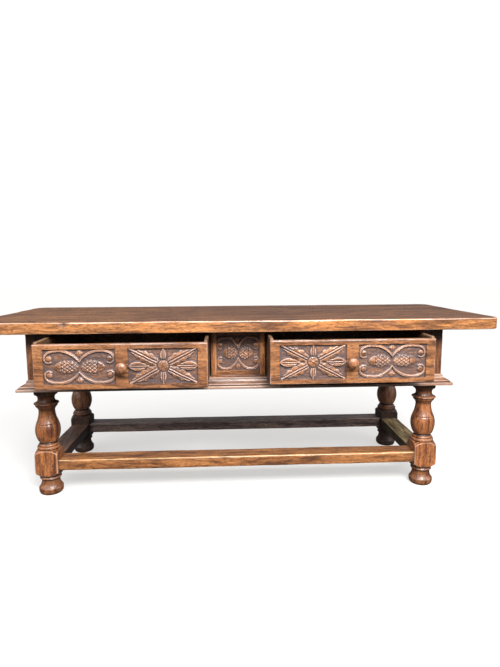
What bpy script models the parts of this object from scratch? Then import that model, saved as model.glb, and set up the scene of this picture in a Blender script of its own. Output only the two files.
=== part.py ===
"""Long antique communion table in walnut, with turned legs, box stretchers and two carved drawers.

Everything is in metres, +Z up. The table stands on z = 0. +X runs along the table and -Y is its
front, where the drawers open. Both drawers are partly pulled out, each by its own amount.
"""

import math

import bmesh
import bpy

# Clearances
GAP = 0.0003  # between two pieces that touch
CUT_PAST = 0.002  # how far a cutter starts outside the face that it enters
RUNNING_CLEARANCE = 0.0005  # between a drawer and what it slides on
DRAWER_SIDE_CLEARANCE = 0.005  # between a drawer and each side of its opening
DRAWER_BACK_CLEARANCE = 0.008  # behind a closed drawer
SHARP_ANGLE = 35  # degrees; sharper edges than this are not shaded smooth

# Table top
TOP_LENGTH = 2.160
TOP_DEPTH = 0.800
TOP_THICKNESS = 0.047
TOP_CORNER_RADIUS = 0.055
TOP_CORNER_STEPS = 6
TOP_ARRIS = 0.005
TABLE_HEIGHT = 0.764

# Case: the square tops of the legs with the aprons and the rail between them
LEG_SPACING_X = 1.654
LEG_SPACING_Y = 0.496
POST_SIZE = 0.103
CASE_HEIGHT = 0.248
APRON_THICKNESS = 0.024
RAIL_HEIGHT = 0.048
RAIL_DEPTH = 0.040
CENTRE_WIDTH = 0.230
STILE_WIDTH = 0.022
PANEL_THICKNESS = 0.022
PANEL_SETBACK = 0.003
PANEL_TONGUE = 0.005
PANEL_TONGUE_THICKNESS = 0.010

# Moulding round the foot of the case, as steps out from the case and up from its underside
MOULDING_HEIGHT = 0.043
MOULDING_PROJECTION = 0.038
MOULDING_NOSE_HEIGHT = 0.012
MOULDING_STEP = 0.003
MOULDING_ARC_STEPS = 3

# Lower block and stretchers
BLOCK_SIZE = 0.097
BLOCK_BOTTOM = 0.086
BLOCK_TOP = 0.200
BLOCK_TURNED_HEIGHT = 0.024  # how far down a corner of the block is turned away
BLOCK_SHOULDER_INSET = 0.002  # of the turned shoulder from the middle of each face
STRETCHER_BOTTOM = 0.111
STRETCHER_HEIGHT = 0.048
STRETCHER_DEPTH = 0.088

# Tenons: length, thickness and the shoulder left above and below
STRETCHER_TENON_THICKNESS = 0.018
STRETCHER_TENON_SHOULDER = 0.007
STRETCHER_TENON_SPACING = 0.0045  # between the end of one tenon and the side of its neighbour
POST_TENON_LENGTH = 0.035
APRON_TENON_THICKNESS = 0.010
APRON_TENON_SHOULDER = 0.035
RAIL_TENON_THICKNESS = 0.014
RAIL_TENON_SHOULDER = 0.009
STILE_TENON_LENGTH = 0.012
STILE_TENON_SHARE = 0.5  # of the stile's width and depth
RUNNER_TENON_LENGTH = 0.008
RUNNER_TENON_HEIGHT = 0.010

# Pegs
PEG_RADIUS = 0.005
PEG_FROM_SHOULDER = 0.0205  # from the face of the block that the tenon enters
PEG_PAST_TENON = 0.0065
PEG_PROUD = 0.001
PEG_HEAD_SHARE = 0.8  # of the radius, at both chamfered ends
PEG_CHAMFER = 0.001
TOP_PEG_RADIUS = 0.006
TOP_PEG_DEPTH_IN_POST = 0.045
TOP_PEG_BELOW_SURFACE = 0.0005
PEG_SIDES = 8

# Foot: radius, and height from the floor
FOOT_BASE_RADIUS = 0.043
FOOT_RADIUS = 0.0505
FOOT_WIDEST_HEIGHT = 0.022
FOOT_FLARE_BOW = 0.0045
FOOT_NECK_RADIUS = 0.0385
FOOT_NECK_HEIGHT = 0.055
FOOT_RING_RADIUS = 0.0435
FOOT_RING_DROP = 0.012  # below the block

# Beads and base of the vase: radius, and rise above the block
BEAD_BOW = 0.0015
BASE_BEAD_RADIUS = 0.0470
BASE_BEAD_RISE = 0.012
UPPER_BEAD_RADIUS = 0.0400
UPPER_BEAD_RISE = 0.024
VASE_FILLET_RADIUS = 0.0345
VASE_FILLET_RISE = 0.031
VASE_BASE_RADIUS = 0.0415
VASE_BASE_RISE = 0.0375

# Vase between its base and its neck, then the capital: radius, and drop below the case
VASE_BELLY_BOW = 0.0095
VASE_SHOULDER_RADIUS = 0.0450
VASE_SHOULDER_PLACE = 0.61  # share of the way from base to neck
VASE_NECK_RADIUS = 0.0352
VASE_NECK_DROP = 0.097
VASE_NECK_BOW = 0.0028
COLLAR_FILLET_RADIUS = 0.0440
COLLAR_FILLET_DROP = 0.081
COLLAR_RADIUS = 0.0510
COLLAR_DROP = 0.067
CAPITAL_NECK_RADIUS = 0.0365
CAPITAL_NECK_DROP = 0.049
ABACUS_INSET = 0.0025  # from the faces of the post above
ABACUS_DROP = 0.023
ABACUS_TAPER = 0.002
TURNED_BOW = 0.003  # of the other hollows and rounds of the leg
TURNED_HOLLOW = 0.002  # of the short hollows
TURNED_SIDES = 16
BLOCK_SHOULDER_SIDES = 24  # round the turned shoulders of the lower block

# Drawers
DRAWER_PULL = {"left": 0.212, "right": 0.183}
DRAWER_ABOVE_RAIL = 0.004
DRAWER_BELOW_TOP = 0.024
DRAWER_FRONT_THICKNESS = 0.028
DRAWER_REBATE = 0.016  # how deep the sides sit into the ends of the front
DRAWER_SIDE_THICKNESS = 0.014
DRAWER_SIDE_ABOVE_FRONT = 0.010
DRAWER_BACK_THICKNESS = 0.014
DRAWER_BACK_BELOW_SIDE = 0.016
DRAWER_BOTTOM_THICKNESS = 0.010
ROUND_TOP_STEPS = 6
KNOB_RADIUS = 0.0195
KNOB_LENGTH = 0.042
KNOB_WIDEST_AT = 0.027  # from the face of the drawer front
KNOB_ROUND_BOW = 0.0045
KNOB_FACE_RADIUS = 0.009
KNOB_TIP_RADIUS = 0.002
KNOB_TIP_HEIGHT = 0.001
KNOB_COLLAR_RADIUS = 0.013
KNOB_NECK_RADIUS = 0.010
KNOB_NECK_AT = 0.008
KNOB_NECK_END = 0.014
KNOB_HOLLOW = 0.001
KNOB_SHANK_RADIUS = 0.008
KNOB_SHANK_PAST_FRONT = 0.004
KNOB_PLACE = 0.510  # share of the front's width, from its outer end
KNOB_SIDES = 12

# Runners and guides
RUNNER_WIDTH = 0.040
RUNNER_HEIGHT = 0.022
RUNNER_TENON_SHOULDER = 0.010  # on each side of the tenon
GUIDE_THICKNESS = 0.018
GUIDE_HEIGHT = 0.048

# Derived planes, in the table's own centred frame
LEG_X = LEG_SPACING_X / 2
LEG_Y = LEG_SPACING_Y / 2
CASE_X = LEG_X + POST_SIZE / 2
CASE_Y = LEG_Y + POST_SIZE / 2
TOP_UNDERSIDE = TABLE_HEIGHT - TOP_THICKNESS
CASE_TOP = TOP_UNDERSIDE - GAP
CASE_BOTTOM = TOP_UNDERSIDE - CASE_HEIGHT
RAIL_TOP = CASE_BOTTOM + RAIL_HEIGHT
REAR_APRON_FACE = CASE_Y - APRON_THICKNESS
STRETCHER_TOP = STRETCHER_BOTTOM + STRETCHER_HEIGHT
STRETCHER_MIDDLE = (STRETCHER_BOTTOM + STRETCHER_TOP) / 2
STRETCHER_TENON_LENGTH = (BLOCK_SIZE - STRETCHER_TENON_THICKNESS) / 2 - STRETCHER_TENON_SPACING
PEG_LENGTH = (BLOCK_SIZE + STRETCHER_TENON_THICKNESS) / 2 + PEG_PAST_TENON
PEG_OFFSET = BLOCK_SIZE / 2 - PEG_FROM_SHOULDER
DRAWER_OUTER_X = LEG_X - POST_SIZE / 2 - DRAWER_SIDE_CLEARANCE
DRAWER_INNER_X = CENTRE_WIDTH / 2 + DRAWER_SIDE_CLEARANCE
DRAWER_DEPTH = CASE_Y + REAR_APRON_FACE - DRAWER_BACK_CLEARANCE
DRAWER_FRONT_BOTTOM = RAIL_TOP + DRAWER_ABOVE_RAIL
DRAWER_FRONT_TOP = TOP_UNDERSIDE - DRAWER_BELOW_TOP
DRAWER_FLOOR = DRAWER_FRONT_BOTTOM + DRAWER_BOTTOM_THICKNESS
RUNNER_TOP = DRAWER_FRONT_BOTTOM - RUNNING_CLEARANCE
FRONT_REACH = max(TOP_DEPTH / 2, CASE_Y + max(DRAWER_PULL.values()) + KNOB_LENGTH)
ORIGIN_SHIFT = (FRONT_REACH - TOP_DEPTH / 2) / 2  # brings the origin under the middle of the whole box

# Colours, linear
TOP_BROWN = (0.20, 0.090, 0.040)
CASE_BROWN = (0.22, 0.092, 0.036)
LEG_BROWN = (0.17, 0.070, 0.030)
DRAWER_BROWN = (0.27, 0.120, 0.050)
LINING_BROWN = (0.24, 0.150, 0.080)
PEG_BROWN = (0.090, 0.040, 0.020)

SIDES = {"left": -1, "right": 1}
ROWS = {"front": -1, "rear": 1}


def clear_scene():
    for item in list(bpy.data.objects):
        bpy.data.objects.remove(item)


def wood(name, colour, roughness):
    material = bpy.data.materials.new(name)
    material.use_nodes = True
    shader = material.node_tree.nodes["Principled BSDF"]
    shader.inputs["Base Color"].default_value = (*colour, 1.0)
    shader.inputs["Roughness"].default_value = roughness
    shader.inputs["Metallic"].default_value = 0.0
    return material


def mesh_from(name, points, faces):
    mesh = bpy.data.meshes.new(name)
    mesh.from_pydata(points, [], faces)
    shell = bmesh.new()
    shell.from_mesh(mesh)
    bmesh.ops.recalc_face_normals(shell, faces=shell.faces)
    shell.to_mesh(mesh)
    shell.free()
    return mesh


def place(name, mesh, location, parent, colour, roughness=0.4):
    item = bpy.data.objects.new(name, mesh)
    bpy.context.scene.collection.objects.link(item)
    item.parent = parent
    item.location = location
    item.data.materials.append(wood(name, colour, roughness))
    return item


def cutter(name, mesh, location, parent):
    item = bpy.data.objects.new(name, mesh)
    bpy.context.scene.collection.objects.link(item)
    item.parent = parent
    item.location = location
    item.hide_render = True
    item.display_type = "WIRE"
    return item


def boolean(item, other, operation):
    modifier = item.modifiers.new(other.name, "BOOLEAN")
    modifier.operation = operation
    modifier.solver = "EXACT"
    modifier.object = other


def soften(item, width):
    modifier = item.modifiers.new("arris", "BEVEL")
    modifier.width = width
    modifier.segments = 1
    modifier.limit_method = "ANGLE"


def shade_round(mesh):
    mesh.shade_smooth()
    mesh.set_sharp_from_angle(angle=math.radians(SHARP_ANGLE))


def prism(name, near, far):
    """A closed solid between two outlines with the same number of points."""
    count = len(near)
    faces = [tuple(range(count)), tuple(range(count, 2 * count))]
    for i in range(count):
        j = (i + 1) % count
        faces.append((i, j, count + j, count + i))
    return mesh_from(name, near + far, faces)


def box_mesh(name, size):
    x, y, z = (side / 2 for side in size)
    outline = [(-x, -y), (x, -y), (x, y), (-x, y)]
    return prism(name, [(a, b, -z) for a, b in outline], [(a, b, z) for a, b in outline])


def middle_and_size(low, high):
    middle = tuple((a + b) / 2 for a, b in zip(low, high))
    size = tuple(b - a for a, b in zip(low, high))
    return middle, size


def board(name, low, high, parent, colour, arris=0.0015):
    """A plain board between two corners."""
    middle, size = middle_and_size(low, high)
    item = place(name, box_mesh(name, size), middle, parent, colour)
    if arris:
        soften(item, arris)
    return item


def box_cutter(name, low, high, parent):
    middle, size = middle_and_size(low, high)
    return cutter(name, box_mesh(name, size), middle, parent)


def turned(name, profile, sides):
    """A closed solid of revolution about Z, from an outline of (radius, height) points."""
    points = []
    for radius, height in profile:
        for i in range(sides):
            angle = 2 * math.pi * i / sides
            points.append((radius * math.cos(angle), radius * math.sin(angle), height))
    last = len(profile) - 1
    faces = [tuple(range(sides)), tuple(range(last * sides, (last + 1) * sides))]
    for ring in range(last):
        for i in range(sides):
            j = (i + 1) % sides
            low = ring * sides
            faces.append((low + i, low + j, low + sides + j, low + sides + i))
    mesh = mesh_from(name, points, faces)
    shade_round(mesh)
    return mesh


def outline_of(members):
    """(radius, height) points through members of (radius, height, bow, steps).

    A member is reached from the one before it in a straight line, or with a bow in an arc that
    stands that far out from the line, outwards where the bow is positive.
    """
    points = [members[0][:2]]
    for radius, height, bow, steps in members[1:]:
        r0, z0 = points[-1]
        if bow:
            chord = math.hypot(radius - r0, height - z0)
            out_r, out_z = (height - z0) / chord, -(radius - r0) / chord
            for i in range(1, steps):
                share = i / steps
                rise = 4 * bow * share * (1 - share)
                points.append(
                    (
                        r0 + (radius - r0) * share + out_r * rise,
                        z0 + (height - z0) * share + out_z * rise,
                    )
                )
        points.append((radius, height))
    return points


def peg_mesh(name, radius, length):
    """A peg standing on z = 0, chamfered at both ends."""
    narrow = radius * PEG_HEAD_SHARE
    shaft_top = length - PEG_CHAMFER
    profile = [(narrow, 0), (radius, PEG_CHAMFER), (radius, shaft_top), (narrow, length)]
    return turned(name, profile, PEG_SIDES)


# ---------------------------------------------------------------- legs


def leg_pattern():
    """The whole leg before its mortises: turned shaft, square lower block and square post."""
    vase_base = BLOCK_TOP + VASE_BASE_RISE
    vase_neck = CASE_BOTTOM - VASE_NECK_DROP
    vase_shoulder = vase_base + VASE_SHOULDER_PLACE * (vase_neck - vase_base)
    abacus_radius = POST_SIZE / 2 - ABACUS_INSET
    members = [
        (FOOT_BASE_RADIUS, 0, 0, 0),
        (FOOT_RADIUS, FOOT_WIDEST_HEIGHT, TURNED_BOW, 2),
        (FOOT_NECK_RADIUS, FOOT_NECK_HEIGHT, -FOOT_FLARE_BOW, 4),
        (FOOT_RING_RADIUS, BLOCK_BOTTOM - FOOT_RING_DROP, -TURNED_HOLLOW, 2),
        (FOOT_RING_RADIUS, BLOCK_BOTTOM + CUT_PAST, 0, 0),
        (FOOT_RING_RADIUS, BLOCK_TOP - CUT_PAST, 0, 0),
        (BASE_BEAD_RADIUS, BLOCK_TOP + BASE_BEAD_RISE, BEAD_BOW, 2),
        (UPPER_BEAD_RADIUS, BLOCK_TOP + UPPER_BEAD_RISE, BEAD_BOW, 2),
        (VASE_FILLET_RADIUS, BLOCK_TOP + VASE_FILLET_RISE, 0, 0),
        (VASE_BASE_RADIUS, vase_base, 0, 0),
        (VASE_SHOULDER_RADIUS, vase_shoulder, VASE_BELLY_BOW, 7),
        (VASE_NECK_RADIUS, vase_neck, -VASE_NECK_BOW, 3),
        (COLLAR_FILLET_RADIUS, CASE_BOTTOM - COLLAR_FILLET_DROP, -TURNED_BOW, 2),
        (COLLAR_RADIUS, CASE_BOTTOM - COLLAR_DROP, 0, 0),
        (CAPITAL_NECK_RADIUS, CASE_BOTTOM - CAPITAL_NECK_DROP, -TURNED_HOLLOW, 2),
        (abacus_radius, CASE_BOTTOM - ABACUS_DROP, -TURNED_BOW, 2),
        (abacus_radius - ABACUS_TAPER, CASE_BOTTOM + CUT_PAST, 0, 0),
    ]
    shaft = cutter("shaft", turned("shaft", outline_of(members), TURNED_SIDES), (0, 0, 0), None)

    half = BLOCK_SIZE / 2
    corner = half * math.sqrt(2) + CUT_PAST
    shoulder = half - BLOCK_SHOULDER_INSET
    barrel_members = [
        (shoulder, BLOCK_BOTTOM - CUT_PAST, 0, 0),
        (corner, BLOCK_BOTTOM + BLOCK_TURNED_HEIGHT, TURNED_BOW, 3),
        (corner, BLOCK_TOP - BLOCK_TURNED_HEIGHT, 0, 0),
        (shoulder, BLOCK_TOP + CUT_PAST, TURNED_BOW, 3),
    ]
    barrel_mesh = turned("barrel", outline_of(barrel_members), BLOCK_SHOULDER_SIDES)
    barrel = cutter("barrel", barrel_mesh, (0, 0, 0), None)
    block = box_cutter("block", (-half, -half, BLOCK_BOTTOM), (half, half, BLOCK_TOP), None)
    boolean(block, barrel, "INTERSECT")

    side = POST_SIZE / 2
    post = box_cutter("post", (-side, -side, CASE_BOTTOM), (side, side, CASE_TOP), None)
    boolean(post, shaft, "UNION")
    boolean(post, block, "UNION")
    bpy.context.view_layer.update()
    graph = bpy.context.evaluated_depsgraph_get()
    mesh = bpy.data.meshes.new_from_object(post.evaluated_get(graph))
    lift = (CASE_BOTTOM + CASE_TOP) / 2
    for vertex in mesh.vertices:
        vertex.co.z += lift
    for helper in (shaft, barrel, block, post):
        bpy.data.objects.remove(helper)
    shade_round(mesh)
    return mesh


def make_legs(table):
    pattern = leg_pattern()
    legs = {}
    for row, along in ROWS.items():
        for side, across in SIDES.items():
            place_at = (across * LEG_X, along * LEG_Y, 0)
            legs[row, side] = place(
                f"leg_{row}_{side}", pattern.copy(), place_at, table, LEG_BROWN, 0.3
            )
    return legs


# ---------------------------------------------------------------- rails with tenons


def rail(name, axis, low, high, tenon, parent, colour):
    """A board whose ends carry a tenon each. Its length runs along axis (0 is X, 1 is Y, 2 is Z).

    tenon gives its length at both ends and the corners of its section across the other two axes.
    """
    others = [i for i in range(3) if i != axis]

    def corners(section_low, section_high, at):
        ring = []
        for a, b in ((0, 0), (1, 0), (1, 1), (0, 1)):
            point = [0.0, 0.0, 0.0]
            point[axis] = at
            point[others[0]] = (section_low, section_high)[a][0]
            point[others[1]] = (section_low, section_high)[b][1]
            ring.append(tuple(point))
        return ring

    body_low = [low[i] for i in others]
    body_high = [high[i] for i in others]
    near_length, far_length = tenon["lengths"]
    stations = []
    if near_length:
        stations.append((tenon["low"], tenon["high"], low[axis] - near_length))
        stations.append((tenon["low"], tenon["high"], low[axis]))
    stations.append((body_low, body_high, low[axis]))
    stations.append((body_low, body_high, high[axis]))
    if far_length:
        stations.append((tenon["low"], tenon["high"], high[axis]))
        stations.append((tenon["low"], tenon["high"], high[axis] + far_length))
    points = []
    faces = []
    for number, station in enumerate(stations):
        points += corners(*station)
        if number:
            first = 4 * (number - 1)
            for i in range(4):
                j = (i + 1) % 4
                faces.append((first + i, first + j, first + 4 + j, first + 4 + i))
    faces.append((0, 1, 2, 3))
    faces.append(tuple(range(len(points) - 4, len(points))))
    middle = tuple((a + b) / 2 for a, b in zip(low, high))
    points = [tuple(p - m for p, m in zip(point, middle)) for point in points]
    return place(name, mesh_from(name, points, faces), middle, parent, colour)


def cut_mortise(item, name, axis, face, tenon, toward, length, parent):
    """A pocket for a tenon that enters at the plane face and runs toward (-1 or 1) along axis."""
    others = [i for i in range(3) if i != axis]
    low = [0.0, 0.0, 0.0]
    high = [0.0, 0.0, 0.0]
    for i, other in enumerate(others):
        low[other] = tenon["low"][i] - GAP
        high[other] = tenon["high"][i] + GAP
    ends = sorted((face - toward * CUT_PAST, face + toward * (length + GAP)))
    low[axis], high[axis] = ends
    boolean(item, box_cutter(name, low, high, parent), "DIFFERENCE")


def make_stretchers(table, legs):
    reach_x = LEG_X - BLOCK_SIZE / 2 - GAP
    reach_y = LEG_Y - BLOCK_SIZE / 2 - GAP
    half = STRETCHER_DEPTH / 2
    thin = STRETCHER_TENON_THICKNESS / 2
    length = STRETCHER_TENON_LENGTH
    tenon_bottom = STRETCHER_BOTTOM + STRETCHER_TENON_SHOULDER
    tenon_top = STRETCHER_TOP - STRETCHER_TENON_SHOULDER
    for row, sign in ROWS.items():
        y = sign * LEG_Y
        tenon = {
            "low": (y - thin, tenon_bottom),
            "high": (y + thin, tenon_top),
            "lengths": (length, length),
        }
        low = (-reach_x, y - half, STRETCHER_BOTTOM)
        high = (reach_x, y + half, STRETCHER_TOP)
        rail(f"stretcher_{row}", 0, low, high, tenon, table, LEG_BROWN)
        for side, across in SIDES.items():
            name = f"mortise_stretcher_{row}_{side}"
            face = across * (reach_x + GAP)
            cut_mortise(legs[row, side], name, 0, face, tenon, across, length, table)
    for side, sign in SIDES.items():
        x = sign * LEG_X
        tenon = {
            "low": (x - thin, tenon_bottom),
            "high": (x + thin, tenon_top),
            "lengths": (length, length),
        }
        low = (x - half, -reach_y, STRETCHER_BOTTOM)
        high = (x + half, reach_y, STRETCHER_TOP)
        rail(f"stretcher_{side}", 1, low, high, tenon, table, LEG_BROWN)
        for row, along in ROWS.items():
            name = f"mortise_stretcher_{side}_{row}"
            face = along * (reach_y + GAP)
            cut_mortise(legs[row, side], name, 1, face, tenon, along, length, table)


def make_stretcher_pegs(table, legs):
    """One peg through each tenon: from the long faces for the long stretchers, else from the ends."""
    for row, along in ROWS.items():
        long_rail = bpy.data.objects[f"stretcher_{row}"]
        for side, across in SIDES.items():
            short_rail = bpy.data.objects[f"stretcher_{side}"]
            x, y = across * LEG_X, along * LEG_Y
            inward_x, inward_y = x - across * PEG_OFFSET, y - along * PEG_OFFSET
            face_x = x + across * BLOCK_SIZE / 2
            face_y = y + along * BLOCK_SIZE / 2
            starts = {
                "face": ((inward_x, face_y, STRETCHER_MIDDLE), (along * math.pi / 2, 0, 0)),
                "end": ((face_x, inward_y, STRETCHER_MIDDLE), (0, -across * math.pi / 2, 0)),
            }
            for place_name, (entry, turn) in starts.items():
                name = f"peg_{row}_{side}_{place_name}"
                rail_item = long_rail if place_name == "face" else short_rail
                outward = (0, along, 0) if place_name == "face" else (across, 0, 0)
                head = tuple(e + o * PEG_PROUD for e, o in zip(entry, outward))
                mesh = peg_mesh(name, PEG_RADIUS, PEG_LENGTH)
                peg = place(name, mesh, head, table, PEG_BROWN)
                peg.rotation_euler = turn
                hole = turned(
                    f"hole_{name}",
                    [(PEG_RADIUS + GAP, -CUT_PAST), (PEG_RADIUS + GAP, PEG_LENGTH + GAP)],
                    PEG_SIDES,
                )
                hole_item = cutter(f"hole_{name}", hole, head, table)
                hole_item.rotation_euler = turn
                boolean(legs[row, side], hole_item, "DIFFERENCE")
                boolean(rail_item, hole_item, "DIFFERENCE")


def make_aprons(table, legs):
    """Rear and end aprons, flush with the outer faces of the posts."""
    middle_in = APRON_THICKNESS / 2
    thin = APRON_TENON_THICKNESS / 2
    bottom = CASE_BOTTOM + APRON_TENON_SHOULDER
    top = CASE_TOP - APRON_TENON_SHOULDER
    reach_x = LEG_X - POST_SIZE / 2 - GAP
    reach_y = LEG_Y - POST_SIZE / 2 - GAP
    y = CASE_Y - middle_in
    lengths = (POST_TENON_LENGTH, POST_TENON_LENGTH)
    tenon = {"low": (y - thin, bottom), "high": (y + thin, top), "lengths": lengths}
    low = (-reach_x, REAR_APRON_FACE, CASE_BOTTOM)
    rear = rail("rear_apron", 0, low, (reach_x, CASE_Y, CASE_TOP), tenon, table, CASE_BROWN)
    for side, across in SIDES.items():
        face = across * (reach_x + GAP)
        name = f"mortise_rear_apron_{side}"
        cut_mortise(legs["rear", side], name, 0, face, tenon, across, POST_TENON_LENGTH, table)
    for side, sign in SIDES.items():
        x = sign * (CASE_X - middle_in)
        tenon = {"low": (x - thin, bottom), "high": (x + thin, top), "lengths": lengths}
        low = (x - middle_in, -reach_y, CASE_BOTTOM)
        high = (x + middle_in, reach_y, CASE_TOP)
        rail(f"end_apron_{side}", 1, low, high, tenon, table, CASE_BROWN)
        for row, along in ROWS.items():
            face = along * (reach_y + GAP)
            name = f"mortise_end_apron_{side}_{row}"
            cut_mortise(legs[row, side], name, 1, face, tenon, along, POST_TENON_LENGTH, table)
    return rear


def make_front_rail(table, legs):
    """The rail under the drawers, flush with the front of the posts."""
    reach = LEG_X - POST_SIZE / 2 - GAP
    y = -CASE_Y + RAIL_DEPTH / 2
    thin = RAIL_TENON_THICKNESS / 2
    tenon = {
        "low": (y - thin, CASE_BOTTOM + RAIL_TENON_SHOULDER),
        "high": (y + thin, RAIL_TOP - RAIL_TENON_SHOULDER),
        "lengths": (POST_TENON_LENGTH, POST_TENON_LENGTH),
    }
    low = (-reach, -CASE_Y, CASE_BOTTOM)
    high = (reach, -CASE_Y + RAIL_DEPTH, RAIL_TOP)
    front = rail("front_bottom_rail", 0, low, high, tenon, table, CASE_BROWN)
    for side, across in SIDES.items():
        face = across * (reach + GAP)
        name = f"mortise_front_rail_{side}"
        cut_mortise(legs["front", side], name, 0, face, tenon, across, POST_TENON_LENGTH, table)
    return front


def make_centre(table, front_rail):
    """Two stiles on the rail between the drawers, with the carved panel held in their grooves."""
    half_thin_x = STILE_WIDTH * STILE_TENON_SHARE / 2
    half_thin_y = RAIL_DEPTH * STILE_TENON_SHARE / 2
    y = -CASE_Y + RAIL_DEPTH / 2
    panel_front = -CASE_Y + PANEL_SETBACK
    panel_back = panel_front + PANEL_THICKNESS
    tongue_middle = (panel_front + panel_back) / 2
    tongue_half = PANEL_TONGUE_THICKNESS / 2
    panel_half = CENTRE_WIDTH / 2 - STILE_WIDTH - GAP
    for side, across in SIDES.items():
        x = across * (CENTRE_WIDTH / 2 - STILE_WIDTH / 2)
        low = (x - STILE_WIDTH / 2, -CASE_Y, RAIL_TOP + GAP)
        high = (x + STILE_WIDTH / 2, -CASE_Y + RAIL_DEPTH, CASE_TOP)
        tenon = {
            "low": (x - half_thin_x, y - half_thin_y),
            "high": (x + half_thin_x, y + half_thin_y),
            "lengths": (STILE_TENON_LENGTH, 0),
        }
        stile = rail(f"centre_stile_{side}", 2, low, high, tenon, table, CASE_BROWN)
        name = f"mortise_stile_{side}"
        cut_mortise(front_rail, name, 2, RAIL_TOP, tenon, -1, STILE_TENON_LENGTH, table)
        inner = across * (panel_half + GAP)
        ends = sorted((inner - across * CUT_PAST, inner + across * (PANEL_TONGUE + GAP)))
        groove = box_cutter(
            f"groove_{side}",
            (ends[0], tongue_middle - tongue_half - GAP, RAIL_TOP - CUT_PAST),
            (ends[1], tongue_middle + tongue_half + GAP, CASE_TOP + CUT_PAST),
            table,
        )
        boolean(stile, groove, "DIFFERENCE")
    tongue = {
        "low": (tongue_middle - tongue_half, RAIL_TOP + GAP),
        "high": (tongue_middle + tongue_half, CASE_TOP),
        "lengths": (PANEL_TONGUE, PANEL_TONGUE),
    }
    low = (-panel_half, panel_front, RAIL_TOP + GAP)
    high = (panel_half, panel_back, CASE_TOP)
    rail("centre_panel", 0, low, high, tongue, table, DRAWER_BROWN)


# ---------------------------------------------------------------- moulding


def moulding_outline():
    """(out from the case, height) round the section, from its top inner corner."""
    top = CASE_BOTTOM + MOULDING_HEIGHT
    nose_top = CASE_BOTTOM + MOULDING_NOSE_HEIGHT
    out = MOULDING_PROJECTION
    middle_out = out / 2
    middle_up = (top + nose_top) / 2
    points = [(GAP, top), (MOULDING_STEP, top)]
    for start, end in (
        ((MOULDING_STEP, top - MOULDING_STEP), (middle_out, middle_up)),
        ((middle_out + MOULDING_STEP, middle_up - MOULDING_STEP), (out - MOULDING_STEP, nose_top)),
    ):
        for i in range(MOULDING_ARC_STEPS + 1):
            angle = math.pi / 2 * i / MOULDING_ARC_STEPS
            share_out, share_down = 1 - math.cos(angle), math.sin(angle)
            points.append(
                (
                    start[0] + (end[0] - start[0]) * share_out,
                    start[1] + (end[1] - start[1]) * share_down,
                )
            )
    points += [(out, nose_top - MOULDING_STEP), (out, CASE_BOTTOM + MOULDING_STEP)]
    points += [(out - MOULDING_STEP, CASE_BOTTOM), (GAP, CASE_BOTTOM)]
    return points


def make_mouldings(table):
    """Four lengths mitred at the corners."""
    outline = moulding_outline()
    for row, sign in ROWS.items():
        ends = []
        for across in (-1, 1):
            ends.append(
                [(across * (CASE_X + p - GAP), sign * (CASE_Y + p), z) for p, z in outline]
            )
        mesh = prism(f"moulding_{row}", *ends)
        place(f"moulding_{row}", mesh, (0, 0, 0), table, CASE_BROWN)
    for side, sign in SIDES.items():
        ends = []
        for along in (-1, 1):
            ends.append(
                [(sign * (CASE_X + p), along * (CASE_Y + p - GAP), z) for p, z in outline]
            )
        mesh = prism(f"moulding_{side}", *ends)
        place(f"moulding_{side}", mesh, (0, 0, 0), table, CASE_BROWN)


# ---------------------------------------------------------------- top


def rounded_rectangle(half_x, half_y, radius, steps):
    points = []
    for quarter, (sx, sy) in enumerate(((1, 1), (-1, 1), (-1, -1), (1, -1))):
        for i in range(steps + 1):
            angle = math.pi / 2 * (quarter + i / steps)
            points.append(
                (
                    sx * (half_x - radius) + radius * math.cos(angle),
                    sy * (half_y - radius) + radius * math.sin(angle),
                )
            )
    return points


def make_top(table, legs):
    """One thick plank on the case, pegged down into the four posts."""
    outline = rounded_rectangle(TOP_LENGTH / 2, TOP_DEPTH / 2, TOP_CORNER_RADIUS, TOP_CORNER_STEPS)
    half = TOP_THICKNESS / 2
    mesh = prism(
        "top_plank", [(x, y, -half) for x, y in outline], [(x, y, half) for x, y in outline]
    )
    plank = place("top_plank", mesh, (0, 0, TOP_UNDERSIDE + half), table, TOP_BROWN, 0.25)
    soften(plank, TOP_ARRIS)
    length = TOP_THICKNESS - TOP_PEG_BELOW_SURFACE + TOP_PEG_DEPTH_IN_POST
    foot = TABLE_HEIGHT - TOP_PEG_BELOW_SURFACE - length
    for (row, side), leg in legs.items():
        x, y = leg.location[0], leg.location[1]
        name = f"top_peg_{row}_{side}"
        place(name, peg_mesh(name, TOP_PEG_RADIUS, length), (x, y, foot), table, PEG_BROWN)
        wide = TOP_PEG_RADIUS + GAP
        hole = turned(f"hole_{name}", [(wide, -GAP), (wide, length + CUT_PAST)], PEG_SIDES)
        hole_item = cutter(f"hole_{name}", hole, (x, y, foot), table)
        boolean(plank, hole_item, "DIFFERENCE")
        boolean(leg, hole_item, "DIFFERENCE")


# ---------------------------------------------------------------- drawers


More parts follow.
